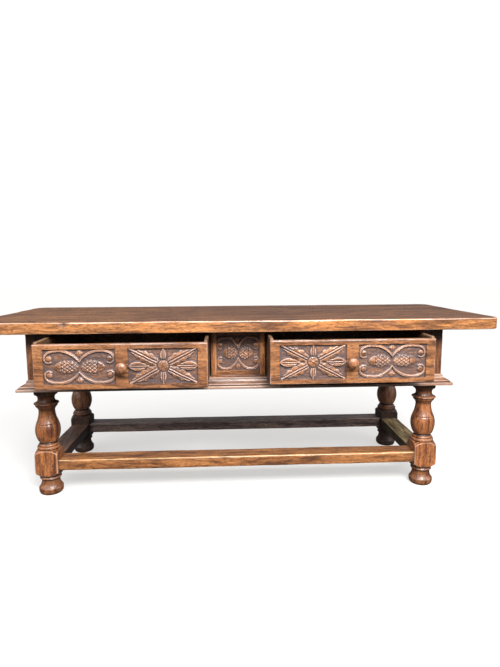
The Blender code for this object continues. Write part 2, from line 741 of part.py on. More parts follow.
def make_runners(table, front_rail, rear_apron):
    """A runner under each drawer side, with a guide nailed along it."""
    front = -CASE_Y + RAIL_DEPTH + GAP
    rear = REAR_APRON_FACE - GAP
    bottom = RUNNER_TOP - RUNNER_HEIGHT
    post_inner = LEG_X - POST_SIZE / 2
    post_y = LEG_Y - POST_SIZE / 2 - GAP
    for side, across in SIDES.items():
        for place_name, face, inward in (
            ("outer", post_inner, -1),
            ("inner", CENTRE_WIDTH / 2, 1),
        ):
            xs = sorted((across * (face + inward * GAP), across * (face + inward * RUNNER_WIDTH)))
            tenon = {
                "low": (xs[0] + RUNNER_TENON_SHOULDER, bottom + GAP),
                "high": (xs[1] - RUNNER_TENON_SHOULDER, bottom + RUNNER_TENON_HEIGHT),
                "lengths": (RUNNER_TENON_LENGTH, RUNNER_TENON_LENGTH),
            }
            name = f"runner_{side}_{place_name}"
            low = (xs[0], front, bottom)
            high = (xs[1], rear, RUNNER_TOP)
            rail(name, 1, low, high, tenon, table, LINING_BROWN)
            depth = RUNNER_TENON_LENGTH
            cut_mortise(front_rail, f"front_{name}", 1, front - GAP, tenon, -1, depth, table)
            cut_mortise(rear_apron, f"rear_{name}", 1, rear + GAP, tenon, 1, depth, table)

            xs = sorted((across * face, across * (face - inward * GUIDE_THICKNESS)))
            ys = (-post_y, post_y) if place_name == "outer" else (front, rear)
            low = (xs[0], ys[0], bottom)
            high = (xs[1], ys[1], bottom + GUIDE_HEIGHT)
            board(f"guide_{side}_{place_name}", low, high, table, LINING_BROWN)


def side_outline(low_x, high_x, bottom, top):
    """Section of a drawer side: a board with a round top edge."""
    radius = (high_x - low_x) / 2
    middle = (low_x + high_x) / 2
    points = [(low_x, bottom), (high_x, bottom)]
    for i in range(ROUND_TOP_STEPS + 1):
        angle = math.pi * i / ROUND_TOP_STEPS
        points.append((middle + radius * math.cos(angle), top - radius + radius * math.sin(angle)))
    return points


def knob_mesh(name):
    """Turned knob along Z: shank below z = 0, mushroom head above."""
    members = [
        (KNOB_SHANK_RADIUS, -DRAWER_FRONT_THICKNESS - KNOB_SHANK_PAST_FRONT, 0, 0),
        (KNOB_SHANK_RADIUS, GAP, 0, 0),
        (KNOB_COLLAR_RADIUS, GAP, 0, 0),
        (KNOB_NECK_RADIUS, KNOB_NECK_AT, -KNOB_HOLLOW, 3),
        (KNOB_COLLAR_RADIUS, KNOB_NECK_END, -KNOB_HOLLOW, 2),
        (KNOB_RADIUS, KNOB_WIDEST_AT, TURNED_BOW, 4),
        (KNOB_FACE_RADIUS, KNOB_LENGTH - KNOB_TIP_HEIGHT, KNOB_ROUND_BOW, 4),
        (KNOB_TIP_RADIUS, KNOB_LENGTH, 0, 0),
    ]
    return turned(name, outline_of(members), KNOB_SIDES)


def make_drawer(table, side):
    """One drawer: carved front, sides let into its ends, back, nailed-on bottom and knob."""
    across = SIDES[side]
    slide = bpy.data.objects.new(f"{side}_drawer", None)
    bpy.context.scene.collection.objects.link(slide)
    slide.parent = table
    slide.location = (0, -DRAWER_PULL[side], 0)

    front_y = -CASE_Y
    front_back = front_y + DRAWER_FRONT_THICKNESS
    rear_y = front_y + DRAWER_DEPTH
    xs = sorted((across * DRAWER_INNER_X, across * DRAWER_OUTER_X))
    bottom = DRAWER_FRONT_BOTTOM
    low = (xs[0], front_y, bottom)
    high = (xs[1], front_back, DRAWER_FRONT_TOP)
    front = board(f"{side}_drawer_front", low, high, slide, DRAWER_BROWN, 0.002)

    side_bottom = DRAWER_FLOOR + GAP
    side_top = DRAWER_FRONT_TOP + DRAWER_SIDE_ABOVE_FRONT
    rebate_y = front_back - DRAWER_REBATE
    for place_name, outer, inward in (
        ("outer", DRAWER_OUTER_X, -1),
        ("inner", DRAWER_INNER_X, 1),
    ):
        ends = sorted((across * outer, across * (outer + inward * DRAWER_SIDE_THICKNESS)))
        outline = side_outline(*ends, side_bottom, side_top)
        near = [(x, rebate_y + GAP, z) for x, z in outline]
        far = [(x, rear_y, z) for x, z in outline]
        name = f"{side}_drawer_side_{place_name}"
        place(name, prism(name, near, far), (0, 0, 0), slide, LINING_BROWN)
        grown = sorted(
            (
                across * (outer - inward * CUT_PAST),
                across * (outer + inward * (DRAWER_SIDE_THICKNESS + GAP)),
            )
        )
        rebate = box_cutter(
            f"rebate_{name}",
            (grown[0], rebate_y, side_bottom - GAP),
            (grown[1], front_back + CUT_PAST, DRAWER_FRONT_TOP + CUT_PAST),
            slide,
        )
        boolean(front, rebate, "DIFFERENCE")

    inside = (xs[0] + DRAWER_SIDE_THICKNESS + GAP, xs[1] - DRAWER_SIDE_THICKNESS - GAP)
    back_low = (inside[0], rear_y - DRAWER_BACK_THICKNESS, side_bottom)
    back_high = (inside[1], rear_y, side_top - DRAWER_BACK_BELOW_SIDE)
    board(f"{side}_drawer_back", back_low, back_high, slide, LINING_BROWN)
    floor_low = (xs[0], front_back + GAP, bottom)
    board(f"{side}_drawer_bottom", floor_low, (xs[1], rear_y, DRAWER_FLOOR), slide, LINING_BROWN)

    width = DRAWER_OUTER_X - DRAWER_INNER_X
    knob_x = across * (DRAWER_OUTER_X - KNOB_PLACE * width)
    knob_at = (knob_x, front_y, (bottom + DRAWER_FRONT_TOP) / 2)
    forward = (math.pi / 2, 0, 0)
    knob = place(f"{side}_drawer_knob", knob_mesh(f"{side}_knob"), knob_at, slide, DRAWER_BROWN)
    knob.rotation_euler = forward
    wide = KNOB_SHANK_RADIUS + GAP
    hole = turned(
        f"hole_knob_{side}",
        [(wide, -DRAWER_FRONT_THICKNESS - CUT_PAST), (wide, CUT_PAST)],
        KNOB_SIDES,
    )
    hole_item = cutter(f"hole_knob_{side}", hole, knob_at, slide)
    hole_item.rotation_euler = forward
    boolean(front, hole_item, "DIFFERENCE")


def main():
    clear_scene()
    table = bpy.data.objects.new("table", None)
    bpy.context.scene.collection.objects.link(table)
    table.location = (0, ORIGIN_SHIFT, 0)
    legs = make_legs(table)
    make_stretchers(table, legs)
    make_stretcher_pegs(table, legs)
    rear_apron = make_aprons(table, legs)
    front_rail = make_front_rail(table, legs)
    make_centre(table, front_rail)
    make_mouldings(table)
    make_top(table, legs)
    make_runners(table, front_rail, rear_apron)
    for side in SIDES:
        make_drawer(table, side)


main()
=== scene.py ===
"""Looks of the antique communion table: carved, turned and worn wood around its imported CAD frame.

Everything is in metres in the frame's own space: +Z up, +X along the table, -Y its front.
Each visual mesh is built in place, so the object coordinates that its wood grain follows are the
frame's own, and move with the body that the piece rides on.
"""

import math

import bmesh
import bpy
import numpy as np
from mathutils import Matrix, Vector


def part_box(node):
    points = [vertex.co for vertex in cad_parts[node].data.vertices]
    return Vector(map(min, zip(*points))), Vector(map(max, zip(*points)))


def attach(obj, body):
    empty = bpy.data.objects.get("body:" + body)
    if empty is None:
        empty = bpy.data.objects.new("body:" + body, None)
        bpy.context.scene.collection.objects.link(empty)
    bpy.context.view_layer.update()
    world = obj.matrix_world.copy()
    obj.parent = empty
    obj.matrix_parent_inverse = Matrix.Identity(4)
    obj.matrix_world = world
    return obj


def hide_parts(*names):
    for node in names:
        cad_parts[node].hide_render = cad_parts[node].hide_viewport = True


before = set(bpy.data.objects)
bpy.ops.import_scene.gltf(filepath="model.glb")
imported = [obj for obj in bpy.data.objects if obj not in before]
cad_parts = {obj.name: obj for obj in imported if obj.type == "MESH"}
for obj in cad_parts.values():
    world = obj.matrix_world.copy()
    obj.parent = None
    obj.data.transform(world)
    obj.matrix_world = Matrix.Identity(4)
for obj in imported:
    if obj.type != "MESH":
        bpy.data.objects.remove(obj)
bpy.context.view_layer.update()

# Fits between pieces
GAP = 0.0003  # between two pieces that touch, as in the CAD

# Table top
TOP_CORNER_RADIUS = 0.055
TOP_CELL = 0.007  # grid of the top surface
TOP_FIRST_CELL = 0.013  # outermost row, wider than the widest arris
TOP_ARRIS = 0.0050
TOP_ARRIS_CHANGE = 0.0030
TOP_LOWER_ARRIS = 0.0045
TOP_EDGE_WAVE = 0.0012
TOP_SURFACE_WAVE = 0.0007
NOTCH_X = -0.687
NOTCH_HALF_WIDTH = 0.016
NOTCH_DEPTH = 0.006
UNDERSIDE_WAVE = 0.0012
UPPER_ARRIS_STEPS = 6
LOWER_ARRIS_STEPS = 5
EDGE_SHARES = (0.2, 0.4, 0.6, 0.8)  # rows of points down the edge between the arrises
LEFT_PAINTED_REFLECTION = 0.45  # painted reflection on the surface near the left end, against the edge

# Legs
BLOCK_SIZE = 0.097
BLOCK_BOTTOM = 0.086
BLOCK_TOP = 0.200
POST_SIZE = 0.103

# Members up a leg: radius, height and how far the stretch up to it bows out. Heights are from the
# floor in FOOT and BLOCK, above the block in SHAFT_RISES and below the case in CAPITAL_DROPS.
FOOT = [
    (0.0415, 0.0, 0.0),
    (0.0445, 0.002, 0.0),
    (0.0500, 0.019, 0.0022),
    (0.0500, 0.028, 0.0006),
    (0.0378, 0.061, -0.0034),
    (0.0375, 0.065, 0.0),
    (0.0430, 0.0685, 0.0),
    (0.0430, 0.0750, 0.0018),
    (0.0400, 0.0785, 0.0),
    (0.0440, BLOCK_BOTTOM - 0.0002, -0.0010),
]
BLOCK = [
    (0.0462, BLOCK_BOTTOM, 0.0),
    (0.0720, BLOCK_BOTTOM + 0.024, 0.0032),
    (0.0720, BLOCK_TOP - 0.024, 0.0),
    (0.0462, BLOCK_TOP, 0.0032),
]
SHAFT_RISES = [
    (0.0440, 0.0002, 0.0),
    (0.0445, 0.003, 0.0),
    (0.0472, 0.009, 0.0018),
    (0.0440, 0.015, 0.0018),
    (0.0405, 0.0165, 0.0),
    (0.0405, 0.0235, 0.0020),
    (0.0345, 0.030, -0.0012),
    (0.0345, 0.0335, 0.0),
    (0.0405, 0.0365, 0.0),
]
VASE_SHOULDER_RADIUS = 0.0450
VASE_SHOULDER_PLACE = 0.61
VASE_BOW = 0.0090
VASE_NECK_RADIUS = 0.0335
VASE_NECK_BOW = -0.0028
VASE_NECK_DROP = 0.097
VASE_GROOVE_PLACE = 0.565  # share of the way from the vase's base to its neck
VASE_GROOVE_WIDTH = 0.0016
VASE_GROOVE_DEPTH = 0.0011
CAPITAL_DROPS = [
    (0.0365, 0.090, -0.0008),
    (0.0430, 0.0815, -0.0015),
    (0.0445, 0.0785, 0.0),
    (0.0512, 0.068, -0.0012),
    (0.0505, 0.0655, 0.0006),
    (0.0420, 0.062, 0.0),
    (0.0345, 0.047, -0.0020),
    (0.0410, 0.031, -0.0022),
    (0.0475, 0.0265, 0.0),
    (0.0490, 0.0225, 0.0006),
    (0.0475, 0.0, 0.0),
]
LEG_STEP = 0.0016
BULGE_WIDTH = 0.009  # height over which a turned part's bulge is judged
BULGE_FULL = 0.0022  # bulge at which a hollow is darkest and a round back most rubbed
LEG_WAVE = 0.00035
LEG_CHIP = 0.0012
POST_STATIONS = 24
LEG_HALF_FACE_POINTS = 16
LEG_CORNER_CROWDING = 1.7
BLOCK_CORNER_RADIUS = 0.0040
POST_CORNER_RADIUS = 0.0018

# Boards
TENON_SHOULDER = 0.001  # how far a stretcher runs into its block
FINE_ARRIS = 0.0012
STILE_ARRIS = 0.0015
END_WEAR_REACH = 0.003
END_DIRT_REACH = 0.006

# Moulding
MOULDING_STATION = 0.012  # length of each stretch along a run

# Carved boards
CARVING_DEPTH = 0.0080
CARVING_CELL = 0.0011
PLAIN_CELL = 0.006
FIELD_MARGIN_Z = 0.018
SCROLL_FIELD = (0.0355, 0.305)  # from the outer end of a drawer front
STAR_FIELD = (0.351, 0.614)
REBATE_WIDTH = 0.0143
REBATE_DEPTH = 0.016
WIDEST_FIELD = (134.75, 68.0)  # half the size in millimetres that the motifs are drawn for
GRIME_AND_SHADE_REACH = 0.0028  # depth below the surroundings at which a hollow is darkest, with grime and painted shade
CREST_REACH = 0.0016  # height above the surroundings at which a crest is most rubbed and most lit by painted highlight
RIM_REACH = 0.0018
PANEL_PLAIN_BAND = 0.0230
PANEL_PLAIN_HEAD = 0.0270

# Drawers
KNOB_RADIUS = 0.0203
KNOB_SIDES = 48
DRAWER_SIDE_THICKNESS = 0.014
DRAWER_FRONT_ARRIS = 0.0022
PANEL_ARRIS = 0.0008

SIDES = {"left": -1, "right": 1}
ROWS = {"front": -1, "rear": 1}


def span(node):
    """Lowest and highest corner of a CAD node as arrays."""
    low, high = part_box(node)
    return np.array(low, float), np.array(high, float)


CASE_BOTTOM = span("moulding_front")[0][2]
CASE_TOP = span("end_apron_left")[1][2]
CASE_FRONT = span("moulding_front")[1][1] + GAP
CASE_REAR = span("moulding_rear")[0][1] - GAP


# ---------------------------------------------------------------- repeatable noise


def hashed(cells):
    """A repeatable number from -1 to 1 for each row of three whole numbers."""
    mixed = cells @ np.array([73856093, 19349663, 83492791])
    mixed = (mixed ^ (mixed >> 13)) * 1274126177
    mixed = mixed ^ (mixed >> 16)
    return (mixed & 0xFFFF) / 32767.5 - 1


def lumps(points, size, seed=0):
    """Smooth noise from -1 to 1 with lumps about size across, one size or one per axis."""
    scaled = np.asarray(points, float) / size + seed * 17.31
    cell = np.floor(scaled).astype(np.int64)
    part = scaled - cell
    ease = part * part * (3 - 2 * part)
    total = np.zeros(len(scaled))
    for corner in range(8):
        bits = np.array([corner & 1, corner >> 1 & 1, corner >> 2 & 1])
        weight = np.prod(np.where(bits, ease, 1 - ease), axis=1)
        total += weight * hashed(cell + bits)
    return total


def rough(points, size, seed=0, octaves=3):
    """Lumps of several sizes, each half as large and half as high as the last."""
    total = np.zeros(len(points))
    for octave in range(octaves):
        share = 0.5**octave
        total += share * lumps(points, np.asarray(size, float) * share, seed + octave)
    return total


def smooth_step(low, high, value):
    """0 at low and 1 at high with a soft start and end. low may be the larger one."""
    share = np.clip((value - low) / (high - low), 0, 1)
    return share * share * (3 - 2 * share)


# ---------------------------------------------------------------- meshes


def grid_faces(rows, columns, start=0):
    """Faces of a grid of points numbered row by row."""
    first = start + np.arange(rows - 1)[:, None] * columns + np.arange(columns - 1)[None, :]
    return np.stack([first, first + 1, first + columns + 1, first + columns], -1).reshape(-1, 4)


def band_faces(first, second):
    """Faces between two closed loops of point numbers of the same length."""
    first, second = np.asarray(first), np.asarray(second)
    return np.stack([first, np.roll(first, -1), np.roll(second, -1), second], -1)


def closed_tube_faces(rings, count):
    """Faces between rings that hold count points each, and the caps of the two ends."""
    loops = np.arange(rings * count).reshape(rings, count)
    bands = [band_faces(loops[i], loops[i + 1]) for i in range(rings - 1)]
    return [*np.concatenate(bands), loops[0][::-1], loops[-1]]


def across_the_front(points):
    """Rows of (x, z, 0) for noise over a board's front."""
    x, z = points
    return np.stack([x.ravel(), z.ravel(), np.zeros(x.size)], 1)


def add_piece(name, points, faces, body, material, replaced=None, shades=None, sharp=50):
    """A closed mesh that rides on a body, with its faces turned outwards."""
    mesh = bpy.data.meshes.new(name)
    mesh.from_pydata(np.asarray(points).tolist(), [], [list(map(int, f)) for f in faces])
    shell = bmesh.new()
    shell.from_mesh(mesh)
    inside_out = shell.calc_volume(signed=True) < 0
    shell.free()
    if inside_out:
        mesh.flip_normals()
    mesh.materials.append(material)
    mesh.shade_smooth()
    mesh.set_sharp_from_angle(angle=math.radians(sharp))
    for shade, values in (shades or {}).items():
        attribute = mesh.attributes.new(shade, "FLOAT", "POINT")
        attribute.data.foreach_set("value", np.clip(values, 0, 1).astype(np.float32))
    piece = bpy.data.objects.new(name, mesh)
    bpy.context.scene.collection.objects.link(piece)
    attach(piece, body)
    if replaced:
        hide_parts(replaced)
    return piece


def run_through(members, step):
    """(radius, height) points along members of (radius, height, bow), no further apart than step."""
    points = [np.array(members[0][:2])]
    for radius, height, bow in members[1:]:
        start = points[-1]
        end = np.array([radius, height])
        chord = float(np.linalg.norm(end - start))
        out = np.array([end[1] - start[1], start[0] - end[0]]) / chord
        count = max(1, math.ceil(chord / step))
        for i in range(1, count + 1):
            share = i / count
            points.append(start + (end - start) * share + out * 4 * bow * share * (1 - share))
    return np.array(points)


# ---------------------------------------------------------------- table top


def top_lines(half):
    """Grid lines across one direction of the top: corner, plain stretch, corner."""
    corner = np.linspace(half - TOP_CORNER_RADIUS, half - TOP_FIRST_CELL, 6)
    count = max(2, round(2 * (half - TOP_CORNER_RADIUS) / TOP_CELL))
    middle = np.linspace(-(half - TOP_CORNER_RADIUS), half - TOP_CORNER_RADIUS, count)
    outer = np.append(corner[1:], half)
    return np.concatenate([-outer[::-1], middle, outer])


def round_plan(x, y, half):
    """Moves grid points in the four corner squares onto quarter discs."""
    a = np.abs(x) - (half[0] - TOP_CORNER_RADIUS)
    b = np.abs(y) - (half[1] - TOP_CORNER_RADIUS)
    inside = (a > 0) & (b > 0)
    length = np.where(inside, np.hypot(a, b), 1)
    ratio = np.where(inside, np.maximum(a, b) / length, 1)
    new_x = np.sign(x) * (half[0] - TOP_CORNER_RADIUS + a * ratio)
    new_y = np.sign(y) * (half[1] - TOP_CORNER_RADIUS + b * ratio)
    return np.where(inside, new_x, x), np.where(inside, new_y, y)


def edge_loop(rows, columns):
    """Point numbers round the rim of a grid."""
    numbers = np.arange(rows * columns).reshape(rows, columns)
    return np.concatenate(
        [numbers[:-1, 0], numbers[-1, :-1], numbers[:0:-1, -1], numbers[0, :0:-1]]
    )


def plan_normals(rim, half):
    """Outward directions at points on the rounded rectangle."""
    inner = np.array(half) - TOP_CORNER_RADIUS
    past = np.clip(np.abs(rim) - inner, 0, None)
    lengths = np.linalg.norm(past, axis=1, keepdims=True)
    return np.sign(rim) * past / np.maximum(lengths, 1e-9)


def make_top(material):
    """The plank: rounded corners, worn wavy arrises with painted highlights, a notch in the front edge,
    painted light on its edge band, a painted reflection near its left end and painted shade on its underside.
    """
    low, high = span("top_plank")
    half = (high - low)[:2] / 2
    middle = (high + low)[:2] / 2
    xs, ys = top_lines(half[0]), top_lines(half[1])
    x, y = np.meshgrid(xs, ys, indexing="ij")
    x, y = round_plan(x, y, half)
    flat = np.stack([x.ravel(), y.ravel()], 1)
    rim = edge_loop(len(xs), len(ys))
    out = plan_normals(flat[rim], half)
    rim_at = np.column_stack([flat[rim], np.zeros(len(rim))])
    upper = TOP_ARRIS + TOP_ARRIS_CHANGE * rough(rim_at, 0.16, 3)
    lower = TOP_LOWER_ARRIS + 0.5 * TOP_ARRIS_CHANGE * rough(rim_at, 0.10, 8)

    rings = []
    ring_wear = []
    for angle in np.radians(np.linspace(0, 90, UPPER_ARRIS_STEPS)):
        outward, down = -upper * (1 - np.sin(angle)), upper * (1 - np.cos(angle))
        rings.append((outward, high[2] - down))
        ring_wear.append(np.sin(2 * angle))
    for share in EDGE_SHARES:
        z = (high[2] - upper) * (1 - share) + (low[2] + lower) * share
        rings.append((np.zeros(len(rim)), z))
        ring_wear.append(0)
    for angle in np.radians(np.linspace(0, 90, LOWER_ARRIS_STEPS)):
        outward, rise = -lower * (1 - np.cos(angle)), lower * (1 - np.sin(angle))
        rings.append((outward, low[2] + rise))
        ring_wear.append(np.sin(2 * angle) * 0.6)

    grid = len(flat)
    shapes = []
    wear_and_highlight = []
    for z, inset in ((high[2], upper), (low[2], lower)):
        sheet = np.column_stack([flat, np.full(grid, z)])
        sheet[rim, :2] -= out * inset[:, None]
        shapes.append(sheet)
        wear_and_highlight.append(np.zeros(grid))
    for (outward, z), worn in zip(rings[1:-1], ring_wear[1:-1]):
        shapes.append(np.column_stack([flat[rim] + out * outward[:, None], z]))
        wear_and_highlight.append(np.full(len(rim), worn))
    points = np.concatenate(shapes)
    wear_and_highlight = np.concatenate(wear_and_highlight)
    normals = np.concatenate(
        [np.zeros((grid, 2)), np.zeros((grid, 2))] + [out] * (len(rings) - 2)
    )
    normals[rim] = out
    normals[grid + rim] = out

    wave = TOP_EDGE_WAVE * (rough(points, (0.11, 0.11, 0.05), 5) - 0.9)
    points[:, :2] += normals * wave[:, None]
    upness = smooth_step(low[2] + 0.01, high[2] - 0.004, points[:, 2])
    points[:, 2] += upness * TOP_SURFACE_WAVE * (rough(points, (0.30, 0.09, 1), 6) - 1.2)
    points[:, 2] += (1 - upness) * UNDERSIDE_WAVE * np.clip(rough(points, (0.20, 0.3, 1), 9), 0, 1)
    near = np.exp(-(((points[:, 0] - NOTCH_X) / NOTCH_HALF_WIDTH) ** 2))
    front = smooth_step(-half[1] + 0.020, -half[1] + 0.002, points[:, 1])
    notch = near * front * smooth_step(low[2] + 0.018, high[2] - 0.004, points[:, 2])
    notch *= 0.75 + 0.5 * lumps(points, 0.006, 2)
    points[:, 1] += notch * NOTCH_DEPTH
    points[:, 2] -= notch * NOTCH_DEPTH * 0.6

    loops = [rim]
    first = 2 * grid
    for _ in rings[1:-1]:
        loops.append(first + np.arange(len(rim)))
        first += len(rim)
    loops.append(grid + rim)
    faces = [grid_faces(len(xs), len(ys)), grid_faces(len(xs), len(ys), grid)[:, ::-1]]
    faces += [band_faces(a, b)[:, ::-1] for a, b in zip(loops, loops[1:])]
    points[:, :2] += middle
    # The edge band is painted lighter, less so near the left end: painted light on the lit edges. Near the
    # left end the surface gets a painted reflection with a wavy border.
    side = np.concatenate([np.zeros(2 * grid), np.ones(len(points) - 2 * grid)])
    edge_painted_light = side * (0.60 + 0.40 * smooth_step(-0.95, -0.45, points[:, 0]))
    reflection_border = points[:, 0] + 0.10 * lumps(points, (0.3, 0.03, 1), 15)
    left = LEFT_PAINTED_REFLECTION * smooth_step(-0.10, -0.70, reflection_border)
    shades = {
        "painted_light": np.maximum(edge_painted_light, left * (upness > 0.5)),
        "wear_and_highlight": wear_and_highlight * (0.75 + 0.5 * rough(points, 0.05, 12)),
        # The underside is darker: painted shade under the top. The notch in the front edge is darkened as
        # well.
        "grime_and_shade": np.maximum(notch * 1.2, (1 - upness) * 0.25 * (np.abs(normals).sum(1) == 0)),
    }
    return add_piece(
        "table_top", points, np.concatenate(faces), "table", material, "top_plank", shades
    )


# ---------------------------------------------------------------- legs


def face_angles():
    """Angles round a leg, crowded towards the four corners of its block."""
    share = np.arange(LEG_HALF_FACE_POINTS) / LEG_HALF_FACE_POINTS
    away = math.pi / 4 * share**LEG_CORNER_CROWDING
    falling = math.pi / 4 - away[1:][::-1]
    quarter = np.concatenate([[0.0], falling, math.pi / 4 + away])
    return np.concatenate([quarter + i * math.pi / 2 for i in range(4)])


def square_radius(angles, half, corner):
    """Distance from the middle to a square with rounded corners, at each angle."""
    across = np.abs(np.cos(angles))
    along = np.abs(np.sin(angles))
    large, small = np.maximum(across, along), np.minimum(across, along)
    flat = half / large
    centre = half - corner
    on_corner = flat * small > centre
    along_ray = centre * (large + small)
    inside = np.maximum(along_ray**2 - (2 * centre**2 - corner**2), 0)
    return np.where(on_corner, along_ray + np.sqrt(inside), flat)


def leg_profile():
    """Rows of (turned radius, height, half of the square section, bulge) up the leg."""
    vase_base = BLOCK_TOP + SHAFT_RISES[-1][1]
    vase_neck = CASE_BOTTOM - VASE_NECK_DROP
    shoulder = vase_base + VASE_SHOULDER_PLACE * (vase_neck - vase_base)
    shaft = [(radius, BLOCK_TOP + rise, bow) for radius, rise, bow in SHAFT_RISES]
    shaft.append((VASE_SHOULDER_RADIUS, shoulder, VASE_BOW))
    shaft.append((VASE_NECK_RADIUS, vase_neck, VASE_NECK_BOW))
    shaft += [(radius, CASE_BOTTOM - drop, bow) for radius, drop, bow in CAPITAL_DROPS]
    shaft = run_through(shaft, LEG_STEP)
    groove_at = vase_base + VASE_GROOVE_PLACE * (vase_neck - vase_base)
    groove = np.exp(-(((shaft[:, 1] - groove_at) / VASE_GROOVE_WIDTH) ** 2))
    shaft[:, 0] -= VASE_GROOVE_DEPTH * groove
    foot, block = run_through(FOOT, LEG_STEP), run_through(BLOCK, LEG_STEP)
    parts = []
    for rows, half in ((foot, 1.0), (block, BLOCK_SIZE / 2), (shaft, 1.0)):
        bulge = rows[:, 0] - smoothed(rows[:, 0], rows[:, 1], BULGE_WIDTH)
        if half < 1:
            bulge = np.zeros(len(rows))
        parts.append(np.column_stack([rows, np.full(len(rows), half), bulge]))
    heights = np.linspace(CASE_BOTTOM + GAP, CASE_TOP, POST_STATIONS)
    post = [(1.0, z, POST_SIZE / 2, 0.0) for z in heights]
    parts.append(np.array(post))
    return np.concatenate(parts)


def make_leg(row, side, material):
    """One leg from floor to top: rubbed, with painted highlights, on its arrises and round backs; grime and
    painted shade in its hollows; painted shade under its block, under the case and on its post; darker low
    down.
    """
    name = f"leg_{row}_{side}"
    low, high = span(name)
    centre = (low + high) / 2
    angles = face_angles()
    radius, height, half, bulge = (column[:, None] for column in leg_profile().T)
    section = np.where(height > CASE_BOTTOM, POST_CORNER_RADIUS, BLOCK_CORNER_RADIUS)
    square = np.where(half < 1, square_radius(angles[None, :], half, section), 1.0)
    reach = np.minimum(radius, square)
    height = height + 0 * reach
    turned = square > radius
    points = np.stack([np.cos(angles) * reach, np.sin(angles) * reach, height], -1).reshape(-1, 3)
    outward = points * np.array([1, 1, 0])
    outward /= np.linalg.norm(outward, axis=1, keepdims=True)

    seed = 20 + 7 * list(ROWS).index(row) + 3 * list(SIDES).index(side)
    away = np.abs((angles % (math.pi / 2)) - math.pi / 4)
    arris = np.where(turned, 0, np.exp(-((away / 0.05) ** 2)))
    shoulder = np.exp(-(((square - radius) / 0.0016) ** 2)) * (half < 1) * (height < CASE_BOTTOM)
    arris = np.maximum(arris, shoulder).ravel()
    placed = points + centre * np.array([1, 1, 0])
    noise = LEG_WAVE * rough(placed, (0.03, 0.03, 0.06), seed)
    chips = arris * LEG_CHIP * np.clip(rough(placed, 0.018, seed + 5), 0, 1)
    placed += outward * (noise - chips)[:, None]

    # Hollows: grime partly, painted shade partly. Round backs: rubbing partly, painted highlight partly.
    hollow = np.where(turned, np.clip(-bulge / BULGE_FULL, 0, 1), 0)
    round_back = np.where(turned, np.clip(bulge / BULGE_FULL, 0, 1), 0)
    # Painted shade under the block, under the case and on the post below the top.
    shade_under_block = np.exp(-(((height - BLOCK_BOTTOM) / 0.004) ** 2)) * 0.7
    below = height < CASE_BOTTOM
    shade_under_case = 0.62 * smooth_step(CASE_BOTTOM - 0.080, CASE_BOTTOM - 0.030, height) * below
    shade_on_post = (0.30 + 0.35 * smooth_step(CASE_BOTTOM, CASE_TOP, height)) * (height > CASE_BOTTOM)
    # The front feet are darker; the rear legs get painted shade from their blocks down, under the table.
    low_down = 0.38 * smooth_step(BLOCK_BOTTOM + 0.001, BLOCK_BOTTOM - 0.001, height)
    if row == "rear":
        low_down = 0.92 * smooth_step(BLOCK_TOP + 0.030, BLOCK_TOP - 0.010, height)
    grime_and_shade = np.maximum.reduce([hollow, shade_under_block, shade_under_case, shade_on_post, low_down])
    rubbed = round_back.ravel() * 0.28 * (1 + rough(placed, 0.02, seed + 3))
    wear_and_highlight = np.maximum(rubbed, arris * (0.8 + 0.4 * rough(placed, 0.03, seed + 9)))
    faces = closed_tube_faces(*reach.shape)
    shades = {"wear_and_highlight": wear_and_highlight * (1 - 0.7 * shade_under_case.ravel()), "grime_and_shade": grime_and_shade.ravel()}
    return add_piece(name + "_turned", placed, faces, "table", material, name, shades)


def smoothed(values, places, width):
    """Values blurred over a width along unevenly spaced places."""
    away = (places[:, None] - places[None, :]) / width
    gaps = np.gradient(places)
    weight = np.exp(-(away**2)) * np.maximum(gaps, 1e-5)[None, :]
    return (weight @ values) / weight.sum(1)


# ---------------------------------------------------------------- boards


def section_outline(size, radii, cell):
    """Points round a rectangle centred on zero, with their outward directions and arris shares.

    radii are those of the corners (low, low), (high, low), (high, high) and (low, high).
    """
    half = np.array(size) / 2
    signs = np.array([(-1, -1), (1, -1), (1, 1), (-1, 1)])
    points, directions, arris = [], [], []
    for number, (sign, radius) in enumerate(zip(signs, radii)):
        centre = sign * (half - radius)
        start = math.pi + number * math.pi / 2
        steps = max(3, math.ceil(radius * math.pi / 2 / cell * 2))
        for i in range(steps + 1):
            angle = start + math.pi / 2 * i / steps
            direction = np.array([math.cos(angle), math.sin(angle)])
            points.append(centre + radius * direction)
            directions.append(direction)
            arris.append(math.sin(math.pi * i / steps))
        following = (number + 1) % 4
        end = signs[following] * (half - radii[following])
        tail = end + radii[following] * directions[-1]
        length = float(np.linalg.norm(tail - points[-1]))
        count = max(1, round(length / cell))
        begin = points[-1]
        for i in range(1, count):
            points.append(begin + (tail - begin) * i / count)
            directions.append(directions[-1])
            arris.append(0.0)
    return np.array(points), np.array(directions), np.array(arris)


